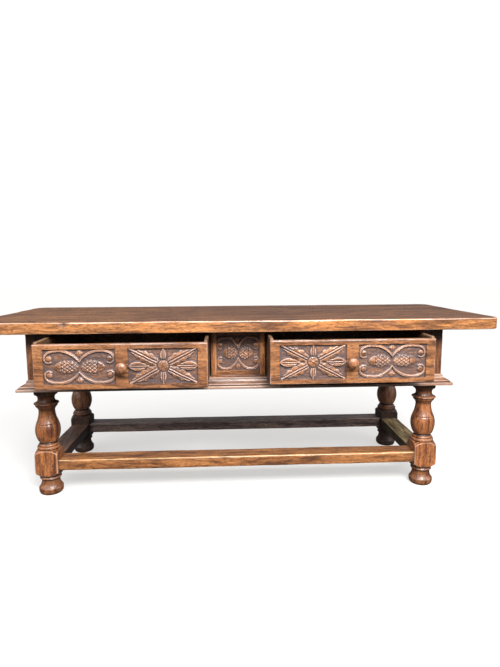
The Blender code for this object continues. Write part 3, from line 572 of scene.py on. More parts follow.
def make_board(
    name, node, axis, low, high, radii, body, material,
    cell=0.008, station=0.010, end_arris=0.0012, wave=0.0004, chip=0.0008, dirty_ends=0.0,
    shaded_sides=0.0, seed=1,
):  # fmt: skip
    """A worn board whose length runs along axis, with softened arrises."""
    low, high = np.array(low, float), np.array(high, float)
    others = [i for i in range(3) if i != axis]
    size = (high - low)[others]
    middle = ((high + low) / 2)[others]
    outline, directions, arris = section_outline(size, radii, cell)
    length = high[axis] - low[axis]
    inner = np.linspace(end_arris, length - end_arris, max(2, round(length / station)))
    places = np.concatenate([[0, end_arris * 0.3], inner, [length - end_arris * 0.3, length]])
    insets = np.zeros(len(places))
    insets[[0, -1]] = end_arris
    insets[[1, -2]] = end_arris * 0.3
    rings = []
    normals = []
    for place, inset in zip(places, insets):
        ring = np.zeros((len(outline), 3))
        ring[:, others] = outline - directions * inset + middle
        ring[:, axis] = low[axis] + place
        rings.append(ring)
        normal = np.zeros((len(outline), 3))
        normal[:, others] = directions
        normals.append(normal)
    points, normals = np.concatenate(rings), np.concatenate(normals)
    arris = np.tile(arris, len(places))
    size_of_wave = np.full(3, 0.035)
    size_of_wave[axis] = 0.11
    bend = wave * (rough(points, size_of_wave, seed) - 0.8)
    chips = chip * arris * np.clip(0.4 + rough(points, 0.022, seed + 4), 0, 1.4)
    points += normals * (bend - chips)[:, None]
    from_end = np.tile(np.minimum(places, length - places), (len(outline), 1)).T.ravel()
    ends = np.exp(-((from_end / END_WEAR_REACH) ** 2))
    rubbed = np.maximum(arris, ends * (1 - dirty_ends))
    end_dirt = dirty_ends * np.exp(-from_end / END_DIRT_REACH)
    # Painted shade on the board's upright sides and underside.
    side_shade = shaded_sides * smooth_step(0.6, 0.2, normals[:, 2])
    shades = {
        "wear_and_highlight": rubbed * (0.75 + 0.45 * rough(points, 0.04, seed + 7)),
        "grime_and_shade": np.maximum(end_dirt, side_shade),
    }
    faces = closed_tube_faces(len(places), len(outline))
    return add_piece(name, points, faces, body, material, node, shades, sharp=60)


def leg_face(row, side, axis, size):
    """Where a leg's square part ends along an axis. size is negative for its low side."""
    low, high = span(f"leg_{row}_{side}")
    return (low[axis] + high[axis] + size) / 2


def make_stretchers(materials):
    """Worn rails between the blocks, the front one rubbed most by feet."""
    for row in ROWS:
        node = f"stretcher_{row}"
        low, high = span(node)
        low[0] = leg_face(row, "left", 0, BLOCK_SIZE) - TENON_SHOULDER
        high[0] = leg_face(row, "right", 0, -BLOCK_SIZE) + TENON_SHOULDER
        radii = (0.003, 0.003, 0.004, 0.0065) if row == "front" else (0.002, 0.002, 0.004, 0.004)
        make_board(
            node + "_worn", node, 0, low, high, radii, "table", materials[row],
            wave=0.0009, chip=0.0014, dirty_ends=0.8, seed=31 if row == "front" else 33,
        )  # fmt: skip
    for side, across in SIDES.items():
        node = f"stretcher_{side}"
        low, high = span(node)
        low[1] = leg_face("front", side, 1, BLOCK_SIZE) - TENON_SHOULDER
        high[1] = leg_face("rear", side, 1, -BLOCK_SIZE) + TENON_SHOULDER
        radii = (0.002, 0.002, 0.0045, 0.0045)
        # Side rails: painted shade on their sides and underside.
        make_board(
            node + "_worn", node, 1, low, high, radii, "table", materials[side],
            wave=0.0009, chip=0.0014, dirty_ends=0.8, shaded_sides=0.85, seed=36 + across,
        )  # fmt: skip


def make_case(material, upright):
    """Aprons and stiles. Each butts against the posts or the rail."""
    fine = (FINE_ARRIS,) * 4
    for side, across in SIDES.items():
        node = f"end_apron_{side}"
        low, high = span(node)
        low[1] = leg_face("front", side, 1, POST_SIZE) + GAP
        high[1] = leg_face("rear", side, 1, -POST_SIZE) - GAP
        make_board(
            node + "_board", node, 1, low, high, fine, "table", material,
            dirty_ends=0.6, seed=41 + across,
        )  # fmt: skip
        node = f"centre_stile_{side}"
        low, high = span(node)
        low[2] = span("centre_panel")[0][2]
        make_board(
            node + "_board", node, 2, low, high, (STILE_ARRIS,) * 4, "table", upright,
            dirty_ends=0.6, seed=45 + across,
        )  # fmt: skip
    node = "rear_apron"
    low, high = span(node)
    low[0] = leg_face("rear", "left", 0, POST_SIZE) + GAP
    high[0] = leg_face("rear", "right", 0, -POST_SIZE) - GAP
    make_board(
        node + "_board", node, 0, low, high, fine, "table", material,
        dirty_ends=0.6, seed=49,
    )  # fmt: skip


# ---------------------------------------------------------------- moulding


def moulding_section(projection, height):
    """(out, up) points from the top inner corner over the cove, the quirk and the nose to the foot."""
    nose = 0.0125
    ledge = 0.0055
    points = [(0, height), (0.0030, height), (0.0042, height - 0.0012), (0.0042, height - 0.0030)]
    cove_start = np.array([0.0050, height - 0.0036])
    cove_end = np.array([projection * 0.62, nose + ledge + 0.0035])
    for share in np.linspace(0, 1, 12):
        angle = share * math.pi / 2
        out = (1 - math.cos(angle)) * (cove_end[0] - cove_start[0])
        down = math.sin(angle) * (cove_start[1] - cove_end[1])
        points.append((cove_start[0] + out, cove_start[1] - down))
    bead_centre = (cove_end[0] + 0.0018, nose + ledge)
    for angle in np.radians(np.linspace(70, -55, 7)):
        points.append((bead_centre[0] + 0.0036 * math.cos(angle), bead_centre[1] + 0.0030 * math.sin(angle)))
    points.append((cove_end[0] + 0.0030, nose + 0.0012))
    points.append((cove_end[0] + 0.0042, nose + 0.0002))
    corner = 0.0030
    points.append((projection - corner, nose))
    for middle, turns in ((nose - corner, [60, 30, 0]), (corner, [0, -30, -60, -90])):
        for angle in np.radians(turns):
            out = projection - corner + corner * math.cos(angle)
            points.append((out, middle + corner * math.sin(angle)))
    points.append((0, 0))
    return np.array(points)


def make_moulding(name, material):
    """One mitred length of the moulding round the foot of the case."""
    low, high = span(name)
    axis = 0 if name.endswith(("front", "rear")) else 1
    across = 1 - axis
    outward = -1 if name.endswith(("front", "left")) else 1
    projection = high[across] - low[across]
    section = moulding_section(projection, high[2] - low[2])
    inner = high[across] if outward < 0 else low[across]
    length = high[axis] - low[axis]
    stations = np.linspace(0, 1, round(length / MOULDING_STATION))
    rings = []
    for station in stations:
        start = low[axis] + projection - section[:, 0]
        end = high[axis] - projection + section[:, 0]
        ring = np.zeros((len(section), 3))
        ring[:, axis] = start * (1 - station) + end * station
        ring[:, across] = inner + outward * section[:, 0]
        ring[:, 2] = low[2] + section[:, 1]
        rings.append(ring)
    points = np.concatenate(rings)
    edge = moulding_edges(section)
    size = np.full(3, 0.03)
    size[axis] = 0.09
    seed = 50 + ["moulding_front", "moulding_rear", "moulding_left", "moulding_right"].index(name)
    wander = 0.0005 * rough(points, size, seed)
    shown = np.tile(section[:, 0] > 0.001, len(stations))
    points[:, 2] += np.where(shown, wander, 0) * 0.7
    points[:, across] += np.where(shown, -outward * np.abs(wander), 0)
    # Some rub colour on every face, more on the outer edges: wear partly, painted sheen partly.
    worn = np.tile(0.25 + 0.70 * edge["wear_and_highlight"], len(stations)) * (0.85 + 0.4 * rough(points, 0.05, seed + 5))
    shades = {"wear_and_highlight": worn, "grime_and_shade": np.tile(edge["grime_and_shade"], len(stations))}
    faces = closed_tube_faces(len(stations), len(section))
    return add_piece(
        name + "_run", points, faces, "table", material, name, shades, sharp=35
    )


def moulding_edges(section):
    """Wear and painted highlights on the outer edges and grime with painted shade in the inner corners of the
    section, by how sharply it turns.
    """
    before = section - np.roll(section, 1, axis=0)
    after = np.roll(section, -1, axis=0) - section
    turn = before[:, 0] * after[:, 1] - before[:, 1] * after[:, 0]
    scale = np.linalg.norm(before, axis=1) * np.linalg.norm(after, axis=1) + 1e-9
    sine = turn / scale
    return {"wear_and_highlight": np.clip(-sine * 1.2, 0, 1) * 0.8, "grime_and_shade": np.clip(sine * 1.4, 0, 1)}


# ---------------------------------------------------------------- carving


def smooth_path(knots, steps=8):
    """A smooth curve through given points, as a run of short straight pieces."""
    knots = np.array(knots, float)
    padded = np.vstack([2 * knots[0] - knots[1], knots, 2 * knots[-1] - knots[-2]])
    points = []
    for i in range(1, len(padded) - 2):
        before, start, end, after = padded[i - 1 : i + 3]
        for share in np.arange(steps) / steps:
            points.append(
                0.5
                * (
                    2 * start
                    + (end - before) * share
                    + (2 * before - 5 * start + 4 * end - after) * share**2
                    + (3 * start - before - 3 * end + after) * share**3
                )
            )
    points.append(padded[-2])
    return np.array(points)


def along_path(a, b, path):
    """Distance to a path, signed across it, and the share of its length at the nearest point."""
    best = np.full(a.shape, 9.0)
    side = np.zeros(a.shape)
    share = np.zeros(a.shape)
    lengths = np.linalg.norm(np.diff(path, axis=0), axis=1)
    reached = np.concatenate([[0], np.cumsum(lengths)])
    for i, length in enumerate(lengths):
        start, step = path[i], (path[i + 1] - path[i]) / length
        da, db = a - start[0], b - start[1]
        place = np.clip(da * step[0] + db * step[1], 0, length)
        off_a, off_b = da - place * step[0], db - place * step[1]
        distance = np.hypot(off_a, off_b)
        nearer = distance < best
        best = np.where(nearer, distance, best)
        side = np.where(nearer, np.sign(step[0] * db - step[1] * da), side)
        share = np.where(nearer, (reached[i] + place) / reached[-1], share)
    return best, side, share


def dome(distance):
    """Height of a round back over its half-width: 1 in the middle, 0 at 1 and past it."""
    return np.sqrt(np.clip(1 - distance**2, 0, 1))


SCROLL_PATH = [
    (-1.0, 20.0), (10.0, 33.0), (26.0, 46.0), (48.0, 57.0), (74.0, 61.0), (100.0, 59.0),
    (119.0, 51.5), (128.0, 38.0), (127.0, 24.0), (116.0, 16.0), (105.0, 18.0),
]  # fmt: skip
SCROLL_HALF_WIDTH = 5.6
SCROLL_BUTTON = (113.0, 31.5)
SCROLL_BUTTON_RADIUS = 11.5
CONE_MIDDLE = 49.0
CONE_HALF_LENGTH = 45.0
CONE_HALF_HEIGHT = 25.5
SCALE_SIZE = 14.0


def scroll_relief(a, b, stretch):
    """Four C-scrolls that meet in the middle, two scaled cones and two diamond leaves.

    a and b are millimetres from the field's middle. stretch is the field's size against the widest
    one's, across and up. The result is 0 on the ground and 1 at the face of the board.
    """
    out, up = np.abs(a), np.abs(b)
    path = smooth_path(SCROLL_PATH) * stretch
    distance, side, share = along_path(out, up, path)
    half = SCROLL_HALF_WIDTH * (0.70 + 0.42 * np.sin(math.pi * np.clip(share * 1.15, 0, 1)) ** 0.7)
    band = dome(distance / half)
    groove = np.exp(-(((distance * side - 0.25 * half) / 1.2) ** 2))
    relief = band - 0.30 * groove * (band > 0)
    button = np.hypot(out - SCROLL_BUTTON[0] * stretch[0], up - SCROLL_BUTTON[1] * stretch[1])
    relief = np.maximum(relief, dome(button / SCROLL_BUTTON_RADIUS) ** 0.8)

    cone_a = (out - CONE_MIDDLE * stretch[0]) / (CONE_HALF_LENGTH * stretch[0])
    width = 1 - np.abs(cone_a) ** (2.2 - 0.5 * (cone_a > 0))
    scallop = 1 + 0.07 * np.cos(out * 2 * math.pi / SCALE_SIZE) * (cone_a < 0.42)
    cone_b = up / (CONE_HALF_HEIGHT * stretch[1] * scallop * np.sqrt(np.clip(width, 1e-4, 1)))
    body = dome(cone_b) ** 0.7 * (width > 0) * np.clip(width, 0, 1) ** 0.25
    lattice = np.minimum(
        np.abs(np.sin((out * 0.75 + b) * math.pi / SCALE_SIZE)),
        np.abs(np.sin((out * 0.75 - b) * math.pi / SCALE_SIZE)),
    )
    scales = smooth_step(0.0, 0.75, lattice) ** 0.8
    tip = smooth_step(0.40, 0.50, cone_a)
    collar = 0.45 * np.exp(-(((cone_a - 0.40) / 0.05) ** 2))
    carved = body * (0.55 + 0.38 * (scales * (1 - tip) + 0.9 * tip) - collar)
    relief = np.maximum(relief, carved)

    reach = np.abs(up - 52 * stretch[1]) / (17 * stretch[1]) + out / 15
    leaf = np.clip(1 - reach, 0, 1) ** 0.5
    midrib = np.exp(-((out / 1.5) ** 2)) * 0.40
    leaf_relief = (0.92 * leaf - midrib) * (reach < 1) * (distance > half)
    return np.clip(np.maximum(relief, leaf_relief), 0, 1)


STAR_BOSS_RADIUS = 21.0
STAR_HALF_SIZE = (131.5, 68.0)
RIB_HALF_WIDTH = 4.0
RIB_CUT = 1.5  # half-width of the cut beside a rib
LOBE_LENGTH = 27.0


def vesica(along, across, length, half_width, point=1.0):
    """Height of a pointed leaf that runs from 0 to length: 1 on its back, 0 outside."""
    share = np.clip(along / length, 0, 1)
    width = half_width * np.sin(math.pi * share**point)
    inside = (along > 0) & (along < length)
    return dome(np.where(inside, across / np.maximum(width, 1e-3), 2))


def star_relief(a, b, stretch):
    """A boss with ribs to the four corners and lobed leaves in the wedges between them."""
    out, up = np.abs(a), np.abs(b)
    corner = np.array(STAR_HALF_SIZE) * stretch
    length = float(np.linalg.norm(corner))
    step = corner / length
    along = out * step[0] + up * step[1]
    across = out * step[1] - up * step[0]
    relief = np.zeros(a.shape)
    for sign, start, reach, width in ((1, 12.0, 124.0, 19.0), (-1, 18.0, 104.0, 17.5)):
        inside = sign * across - RIB_HALF_WIDTH
        share = np.clip((along - start) / reach, 0, 1)
        outline = width * np.sin(math.pi * share**0.85) ** 0.8
        outline *= 1 + 0.17 * np.cos((along + 4 * sign) * 2 * math.pi / LOBE_LENGTH)
        leaf = dome(inside / np.maximum(outline, 1e-3)) ** 0.6 * (inside > 0) * (share > 0) * (share < 1)
        veins = np.abs(np.sin((along - 0.9 * inside) * math.pi / LOBE_LENGTH))
        leaf *= 0.88 - 0.30 * smooth_step(0.26, 0.0, veins) * smooth_step(2, 6, inside)
        relief = np.maximum(relief, leaf)
    level = vesica(corner[0] + 3 - out, up, 84.0 * stretch[0], 19.0, 0.80)
    line = 0.55 * np.exp(-(((up - 4.4) / 1.6) ** 2)) * smooth_step(corner[0] - 4, corner[0] - 14, out)
    shape = 0.15 + 0.80 * smooth_step(0.15, 0.62, level) - line
    relief = np.where(level > 0, shape, relief)
    tall = vesica(up - 14, out, 56.0 * stretch[1], 12.5, 0.9)
    line = 0.50 * np.exp(-(((out - 3.6) / 1.5) ** 2))
    relief = np.where(tall > 0, 0.12 + 0.80 * smooth_step(0.15, 0.62, tall) - line, relief)
    cuts = np.exp(-(((np.abs(across) - RIB_HALF_WIDTH - RIB_CUT) / RIB_CUT) ** 2))
    relief *= 1 - 0.85 * cuts * (along < length)
    rib = dome(across / RIB_HALF_WIDTH) ** 0.7 * (along < length - 3)
    relief = np.maximum(relief, rib)
    away = np.hypot(a, b)
    turn = np.arctan2(b, a)
    petals = 0.86 - 0.34 * smooth_step(0.30, 0.0, np.abs(np.sin(3 * turn))) * smooth_step(3, 8, away)
    boss = dome(away / STAR_BOSS_RADIUS) ** 0.5 * petals
    boss = np.maximum(boss, dome(away / 6.5) ** 0.7)
    moat = 1 - np.exp(-(((away - STAR_BOSS_RADIUS - 1.5) / 2.8) ** 2))
    return np.clip(np.where(away < STAR_BOSS_RADIUS, boss, relief * moat), 0, 1)


def lines_over(low, high, fields):
    """Grid lines from low to high: fine over each field, coarse between, close at the ends."""
    marks = [low]
    for start, end in fields:
        marks += [start, end]
    marks.append(high)
    lines = [low, low + 0.0006, low + 0.0015]
    for number, (start, end) in enumerate(zip(marks, marks[1:])):
        cell = CARVING_CELL if number % 2 else PLAIN_CELL
        count = max(1, round((end - start) / cell))
        lines += list(start + (end - start) * np.arange(1, count + 1) / count)
    lines = [x for x in lines if x < high - 0.002] + [high - 0.0015, high - 0.0006, high]
    return np.array(sorted(set(lines)))


def box_blur(values, reach):
    """Mean over a square of cells, repeated once for a rounder blur."""
    for _ in range(2):
        for axis in (0, 1):
            pad = [(0, 0), (0, 0)]
            pad[axis] = (reach + 1, reach)
            total = np.cumsum(np.pad(values, pad, mode="edge"), axis=axis)
            upper = np.take(total, range(2 * reach + 1, total.shape[axis]), axis=axis)
            lower = np.take(total, range(0, total.shape[axis] - 2 * reach - 1), axis=axis)
            values = (upper - lower) / (2 * reach + 1)
    return values


def field_relief(x, z, field, motif, seed):
    """Relief over one field and how far inside the field's edge each point is."""
    (x0, x1), (z0, z1) = field
    middle = np.array([(x0 + x1) / 2, (z0 + z1) / 2])
    half = np.array([(x1 - x0) / 2, (z1 - z0) / 2])
    at = across_the_front((x, z))
    sway_a = 1.3 * lumps(at, 0.030, seed).reshape(x.shape)
    sway_b = 1.1 * lumps(at, 0.028, seed + 1).reshape(x.shape)
    a = (x - middle[0]) * 1000 + sway_a
    b = (z - middle[1]) * 1000 + sway_b
    stretch = half * 1000 / np.array(WIDEST_FIELD)
    relief = motif(a, b, stretch)
    cuts = 0.09 * rough(at, 0.007, seed + 2).reshape(x.shape)
    relief = np.clip(relief + cuts * (relief < 0.98), -0.12, 1)
    edge = np.minimum(half[0] - np.abs(x - middle[0]), half[1] - np.abs(z - middle[1]))
    return relief, edge


def carved_board(name, node, low, high, fields, body, material, arris, rebates=None, seed=60):
    """A board with sunk carved fields in its front. fields are ((x0, x1), (z0, z1), motif)."""
    xs = lines_over(low[0], high[0], sorted({f[0] for f in fields}))
    zs = lines_over(low[2], high[2], sorted({f[1] for f in fields}))
    if rebates:
        steps = []
        for edge, inward in ((low[0], 1), (high[0], -1)):
            steps += [edge + inward * (REBATE_WIDTH - 0.0001), edge + inward * (REBATE_WIDTH + 0.0001)]
        xs = np.array(sorted(set(xs) | set(steps)))
    x, z = np.meshgrid(xs, zs, indexing="ij")
    depth = np.zeros(x.shape)
    inside = np.full(x.shape, -1.0)
    for number, (across, up, motif) in enumerate(fields):
        relief, field_edge = field_relief(x, z, (across, up), motif, seed + 10 * number)
        slope = smooth_step(-0.0002, 0.0022, field_edge)
        depth = np.maximum(depth, slope * (1 - relief) * CARVING_DEPTH)
        inside = np.maximum(inside, field_edge)
    hollow = box_blur(-depth, 5) + depth
    crest = -box_blur(-depth, 2) - depth
    edge = np.minimum.reduce([x - low[0], high[0] - x, z - low[2], high[2] - z])
    rounding = np.clip(arris - edge, 0, arris)
    drop = arris - np.sqrt(np.maximum(arris**2 - rounding**2, 0))
    at = across_the_front((x, z))
    wander = 0.0003 * (rough(at, (0.12, 0.03, 1), seed + 3).reshape(x.shape) - 1)
    front = low[1] + depth + drop - wander
    grid = np.stack([x, front, z], -1).reshape(-1, 3)

    back_z = [low[2], high[2]]
    if rebates:
        back_z = [low[2], rebates - 0.0001, rebates + 0.0001, high[2]]
    back = []
    for value in back_z:
        row = np.full((len(xs), 3), high[1])
        row[:, 0], row[:, 2] = xs, value
        if rebates and value > rebates:
            in_rebate = np.minimum(xs - low[0], high[0] - xs) < REBATE_WIDTH
            row[:, 1] = np.where(in_rebate, high[1] - REBATE_DEPTH, high[1])
        back.append(row)
    back = np.stack(back, 1).reshape(-1, 3)
    rows, columns, back_columns = len(xs), len(zs), len(back_z)
    start = rows * columns
    faces = list(grid_faces(rows, columns)) + list(grid_faces(rows, back_columns, start)[:, ::-1])
    bottom = np.arange(rows) * columns
    top = bottom + columns - 1
    back_bottom = start + np.arange(rows) * back_columns
    back_top = back_bottom + back_columns - 1
    for i in range(rows - 1):
        faces.append([bottom[i], back_bottom[i], back_bottom[i + 1], bottom[i + 1]])
        faces.append([top[i], top[i + 1], back_top[i + 1], back_top[i]])
    for row in (0, rows - 1):
        face = list(np.arange(columns) + row * columns)
        face += list((start + row * back_columns + np.arange(back_columns))[::-1])
        faces.append(face if row == 0 else face[::-1])
    # Hollows and the deeper ground are darkened: grime partly, painted shade partly. Crests and the rim take
    # the rub colour: wear partly, painted highlight partly.
    grime_and_shade_amount = 0.62 + 0.28 * rough(at, 0.010, seed + 4).reshape(x.shape)
    grime_and_shade = 0.9 * np.clip(hollow / GRIME_AND_SHADE_REACH, 0, 1) + grime_and_shade_amount * np.clip(depth / CARVING_DEPTH, 0, 1) ** 1.3
    wear_and_highlight = 0.55 * np.clip(crest / CREST_REACH, 0, 1) * smooth_step(-0.0005, 0.0020, inside)
    rim = np.exp(-((edge / RIM_REACH) ** 2)) * (0.5 + 0.5 * rough(at, 0.04, seed + 6).reshape(x.shape))
    shades = {
        "grime_and_shade": np.concatenate([grime_and_shade.ravel(), np.zeros(len(back))]),
        "wear_and_highlight": np.concatenate([np.maximum(wear_and_highlight, rim).ravel(), np.zeros(len(back))]),
    }
    points = np.concatenate([grid, back])
    return add_piece(name, points, faces, body, material, node, shades, sharp=60)


def make_centre_panel(material):
    """The carved board between the two stiles."""
    low, high = span("centre_panel")
    low[0] = span("centre_stile_left")[1][0] + GAP
    high[0] = span("centre_stile_right")[0][0] - GAP
    across = (low[0] + 0.0015, high[0] - 0.0015)
    up = (low[2] + PANEL_PLAIN_BAND, high[2] - PANEL_PLAIN_HEAD)
    carved_board(
        "centre_panel_carved", "centre_panel", low, high, [(across, up, scroll_relief)],
        "table", material, PANEL_ARRIS, seed=90,
    )  # fmt: skip


# ---------------------------------------------------------------- drawers


def knob_profile(length, shank):
    """(radius, height) members of a turned knob from the end of its shank to its face."""
    radius = KNOB_RADIUS
    return [
        (0.0070, -shank, 0.0),
        (0.0080, -shank + 0.001, 0.0),
        (0.0080, -0.0001, 0.0),
        (radius * 0.66, 0.0, 0.0),
        (radius * 0.68, 0.0022, 0.0004),
        (radius * 0.52, 0.0045, 0.0),
        (radius * 0.46, length * 0.26, -0.0006),
        (radius * 0.56, length * 0.38, -0.0006),
        (radius, length * 0.66, 0.0030),
        (radius * 0.72, length * 0.90, 0.0026),
        (radius * 0.22, length - 0.0004, 0.0014),
        (radius * 0.05, length, 0.0),
    ]


def make_knob(side, material):
    """Turned along -Y, out of the drawer front."""
    node = f"{side}_drawer_knob"
    low, high = span(node)
    face = span(f"{side}_drawer_front")[0][1]
    centre = (low + high) / 2
    profile = run_through(knob_profile(face - low[1], high[1] - face), 0.0012)
    angles = np.arange(KNOB_SIDES) * 2 * math.pi / KNOB_SIDES
    reach = profile[:, :1] * (1 + 0.012 * np.cos(3 * angles + profile[:, 1:] / 0.02))
    forward = face - profile[:, 1:] + 0 * angles
    points = np.stack([centre[0] + reach * np.cos(angles), forward, centre[2] + reach * np.sin(angles)], -1)
    points = points.reshape(-1, 3)
    proud = np.repeat(profile[:, 1], KNOB_SIDES)
    faces = closed_tube_faces(len(profile), KNOB_SIDES)
    # Darker at the base where it meets the front: grime partly, painted shade partly. A little rub colour on
    # the head: wear partly, painted highlight partly.
    shades = {"grime_and_shade": np.exp(-((proud / 0.007) ** 2)), "wear_and_highlight": 0.22 * smooth_step(0.015, 0.030, proud)}
    add_piece(node + "_turned", points, faces, f"{side}_drawer", material, node, shades)


def make_drawer(side, carved, lining, knob):
    """Carved front and two round-topped sides. The back and the bottom keep their CAD shape."""
    across = SIDES[side]
    body = f"{side}_drawer"
    low, high = span(f"{side}_drawer_front")
    up = (low[2] + FIELD_MARGIN_Z, high[2] - FIELD_MARGIN_Z)
    outer = low[0] if across < 0 else high[0]
    fields = []
    for (near, far), motif in ((SCROLL_FIELD, scroll_relief), (STAR_FIELD, star_relief)):
        ends = tuple(sorted((outer - across * near, outer - across * far)))
        fields.append((ends, up, motif))
    floor = span(f"{side}_drawer_bottom")[1][2]
    carved_board(
        f"{side}_drawer_front_carved", f"{side}_drawer_front", low, high, fields, body, carved,
        DRAWER_FRONT_ARRIS, rebates=floor, seed=100 + 40 * across,
    )  # fmt: skip
    for place in ("outer", "inner"):
        node = f"{side}_drawer_side_{place}"
        side_low, side_high = span(node)
        round_top = DRAWER_SIDE_THICKNESS / 2 - 0.0002
        make_board(
            node + "_board", node, 1, side_low, side_high, (0.0008, 0.0008, round_top, round_top),
            body, lining, cell=0.006, wave=0.0003, chip=0.0003,
            seed=75 + 3 * across,
        )  # fmt: skip
    make_knob(side, knob)


# ---------------------------------------------------------------- pegs


def make_peg(node, material):
    """A whittled peg with a slightly domed end that stands proud of the block."""
    low, high = span(node)
    axis = int(np.argmax(high - low))
    others = [i for i in range(3) if i != axis]
    centre = (low + high) / 2
    radius = (high - low)[others].max() / 2
    head_high = centre[axis] > (0 if axis == 0 else (CASE_FRONT + CASE_REAR) / 2)
    length = high[axis] - low[axis]
    profile = np.array(
        [(0.15, 0.0), (0.55, 0.0002), (0.85, 0.0008), (1.0, 0.0016), (1.0, length - 0.001), (0.8, length)]
    )
    sides = 20
    angles = np.arange(sides) * 2 * math.pi / sides
    facets = 1 + 0.035 * np.cos(5 * angles) + 0.02 * np.cos(3 * angles + 1)
    rings = []
    for share, place in profile:
        ring = np.zeros((sides, 3))
        ring[:, others[0]] = centre[others[0]] + radius * share * facets * np.cos(angles)
        ring[:, others[1]] = centre[others[1]] + radius * share * facets * np.sin(angles)
        ring[:, axis] = high[axis] - place if head_high else low[axis] + place
        rings.append(ring)
    points = np.concatenate(rings)
    faces = closed_tube_faces(len(profile), sides)
    add_piece(node + "_whittled", points, faces, "table", material, node)


# ---------------------------------------------------------------- materials


class Graph:
    """Short names for building one material's nodes."""

    def __init__(self, name):
        self.material = bpy.data.materials.new(name)
        self.material.use_nodes = True
        self.tree = self.material.node_tree
        self.shader = self.tree.nodes["Principled BSDF"]
        self.shader.inputs["Metallic"].default_value = 0.0

    def add(self, kind, inputs=None, **settings):
        node = self.tree.nodes.new(kind)
        for key, value in settings.items():
            setattr(node, key, value)
        for socket, value in (inputs or {}).items():
            if isinstance(value, bpy.types.NodeSocket):
                self.tree.links.new(value, node.inputs[socket])
            else:
                node.inputs[socket].default_value = value
        return node

    def ramp(self, value, stops):
        node = self.add("ShaderNodeValToRGB", {"Fac": value})
        elements = node.color_ramp.elements
        while len(elements) < len(stops):
            elements.new(0.5)
        for element, (place, colour) in zip(elements, stops):
            element.position = place
            element.color = (*colour, 1.0)
        return node.outputs["Color"]

    def range(self, value, from_low, from_high, to_low, to_high):
        inputs = {"Value": value, 1: from_low, 2: from_high, 3: to_low, 4: to_high}
        return self.add("ShaderNodeMapRange", inputs).outputs["Result"]

    def math(self, operation, first, second):
        return self.add("ShaderNodeMath", {0: first, 1: second}, operation=operation).outputs[0]

    def mix(self, factor, first, second, blend="MIX"):
        inputs = {0: factor, 6: first, 7: second}
        return self.add("ShaderNodeMix", inputs, data_type="RGBA", blend_type=blend).outputs[2]

    def noise(self, vector, scale, detail=3.0, roughness=0.55, distortion=0.0):
        inputs = {
            "Vector": vector,
            "Scale": scale,
            "Detail": detail,
            "Roughness": roughness,
            "Distortion": distortion,
        }
        return self.add("ShaderNodeTexNoise", inputs).outputs[0]

    def link(self, value, socket):
        self.tree.links.new(value, self.shader.inputs[socket])


def colour(red, green, blue):
    return (red, green, blue, 1.0)


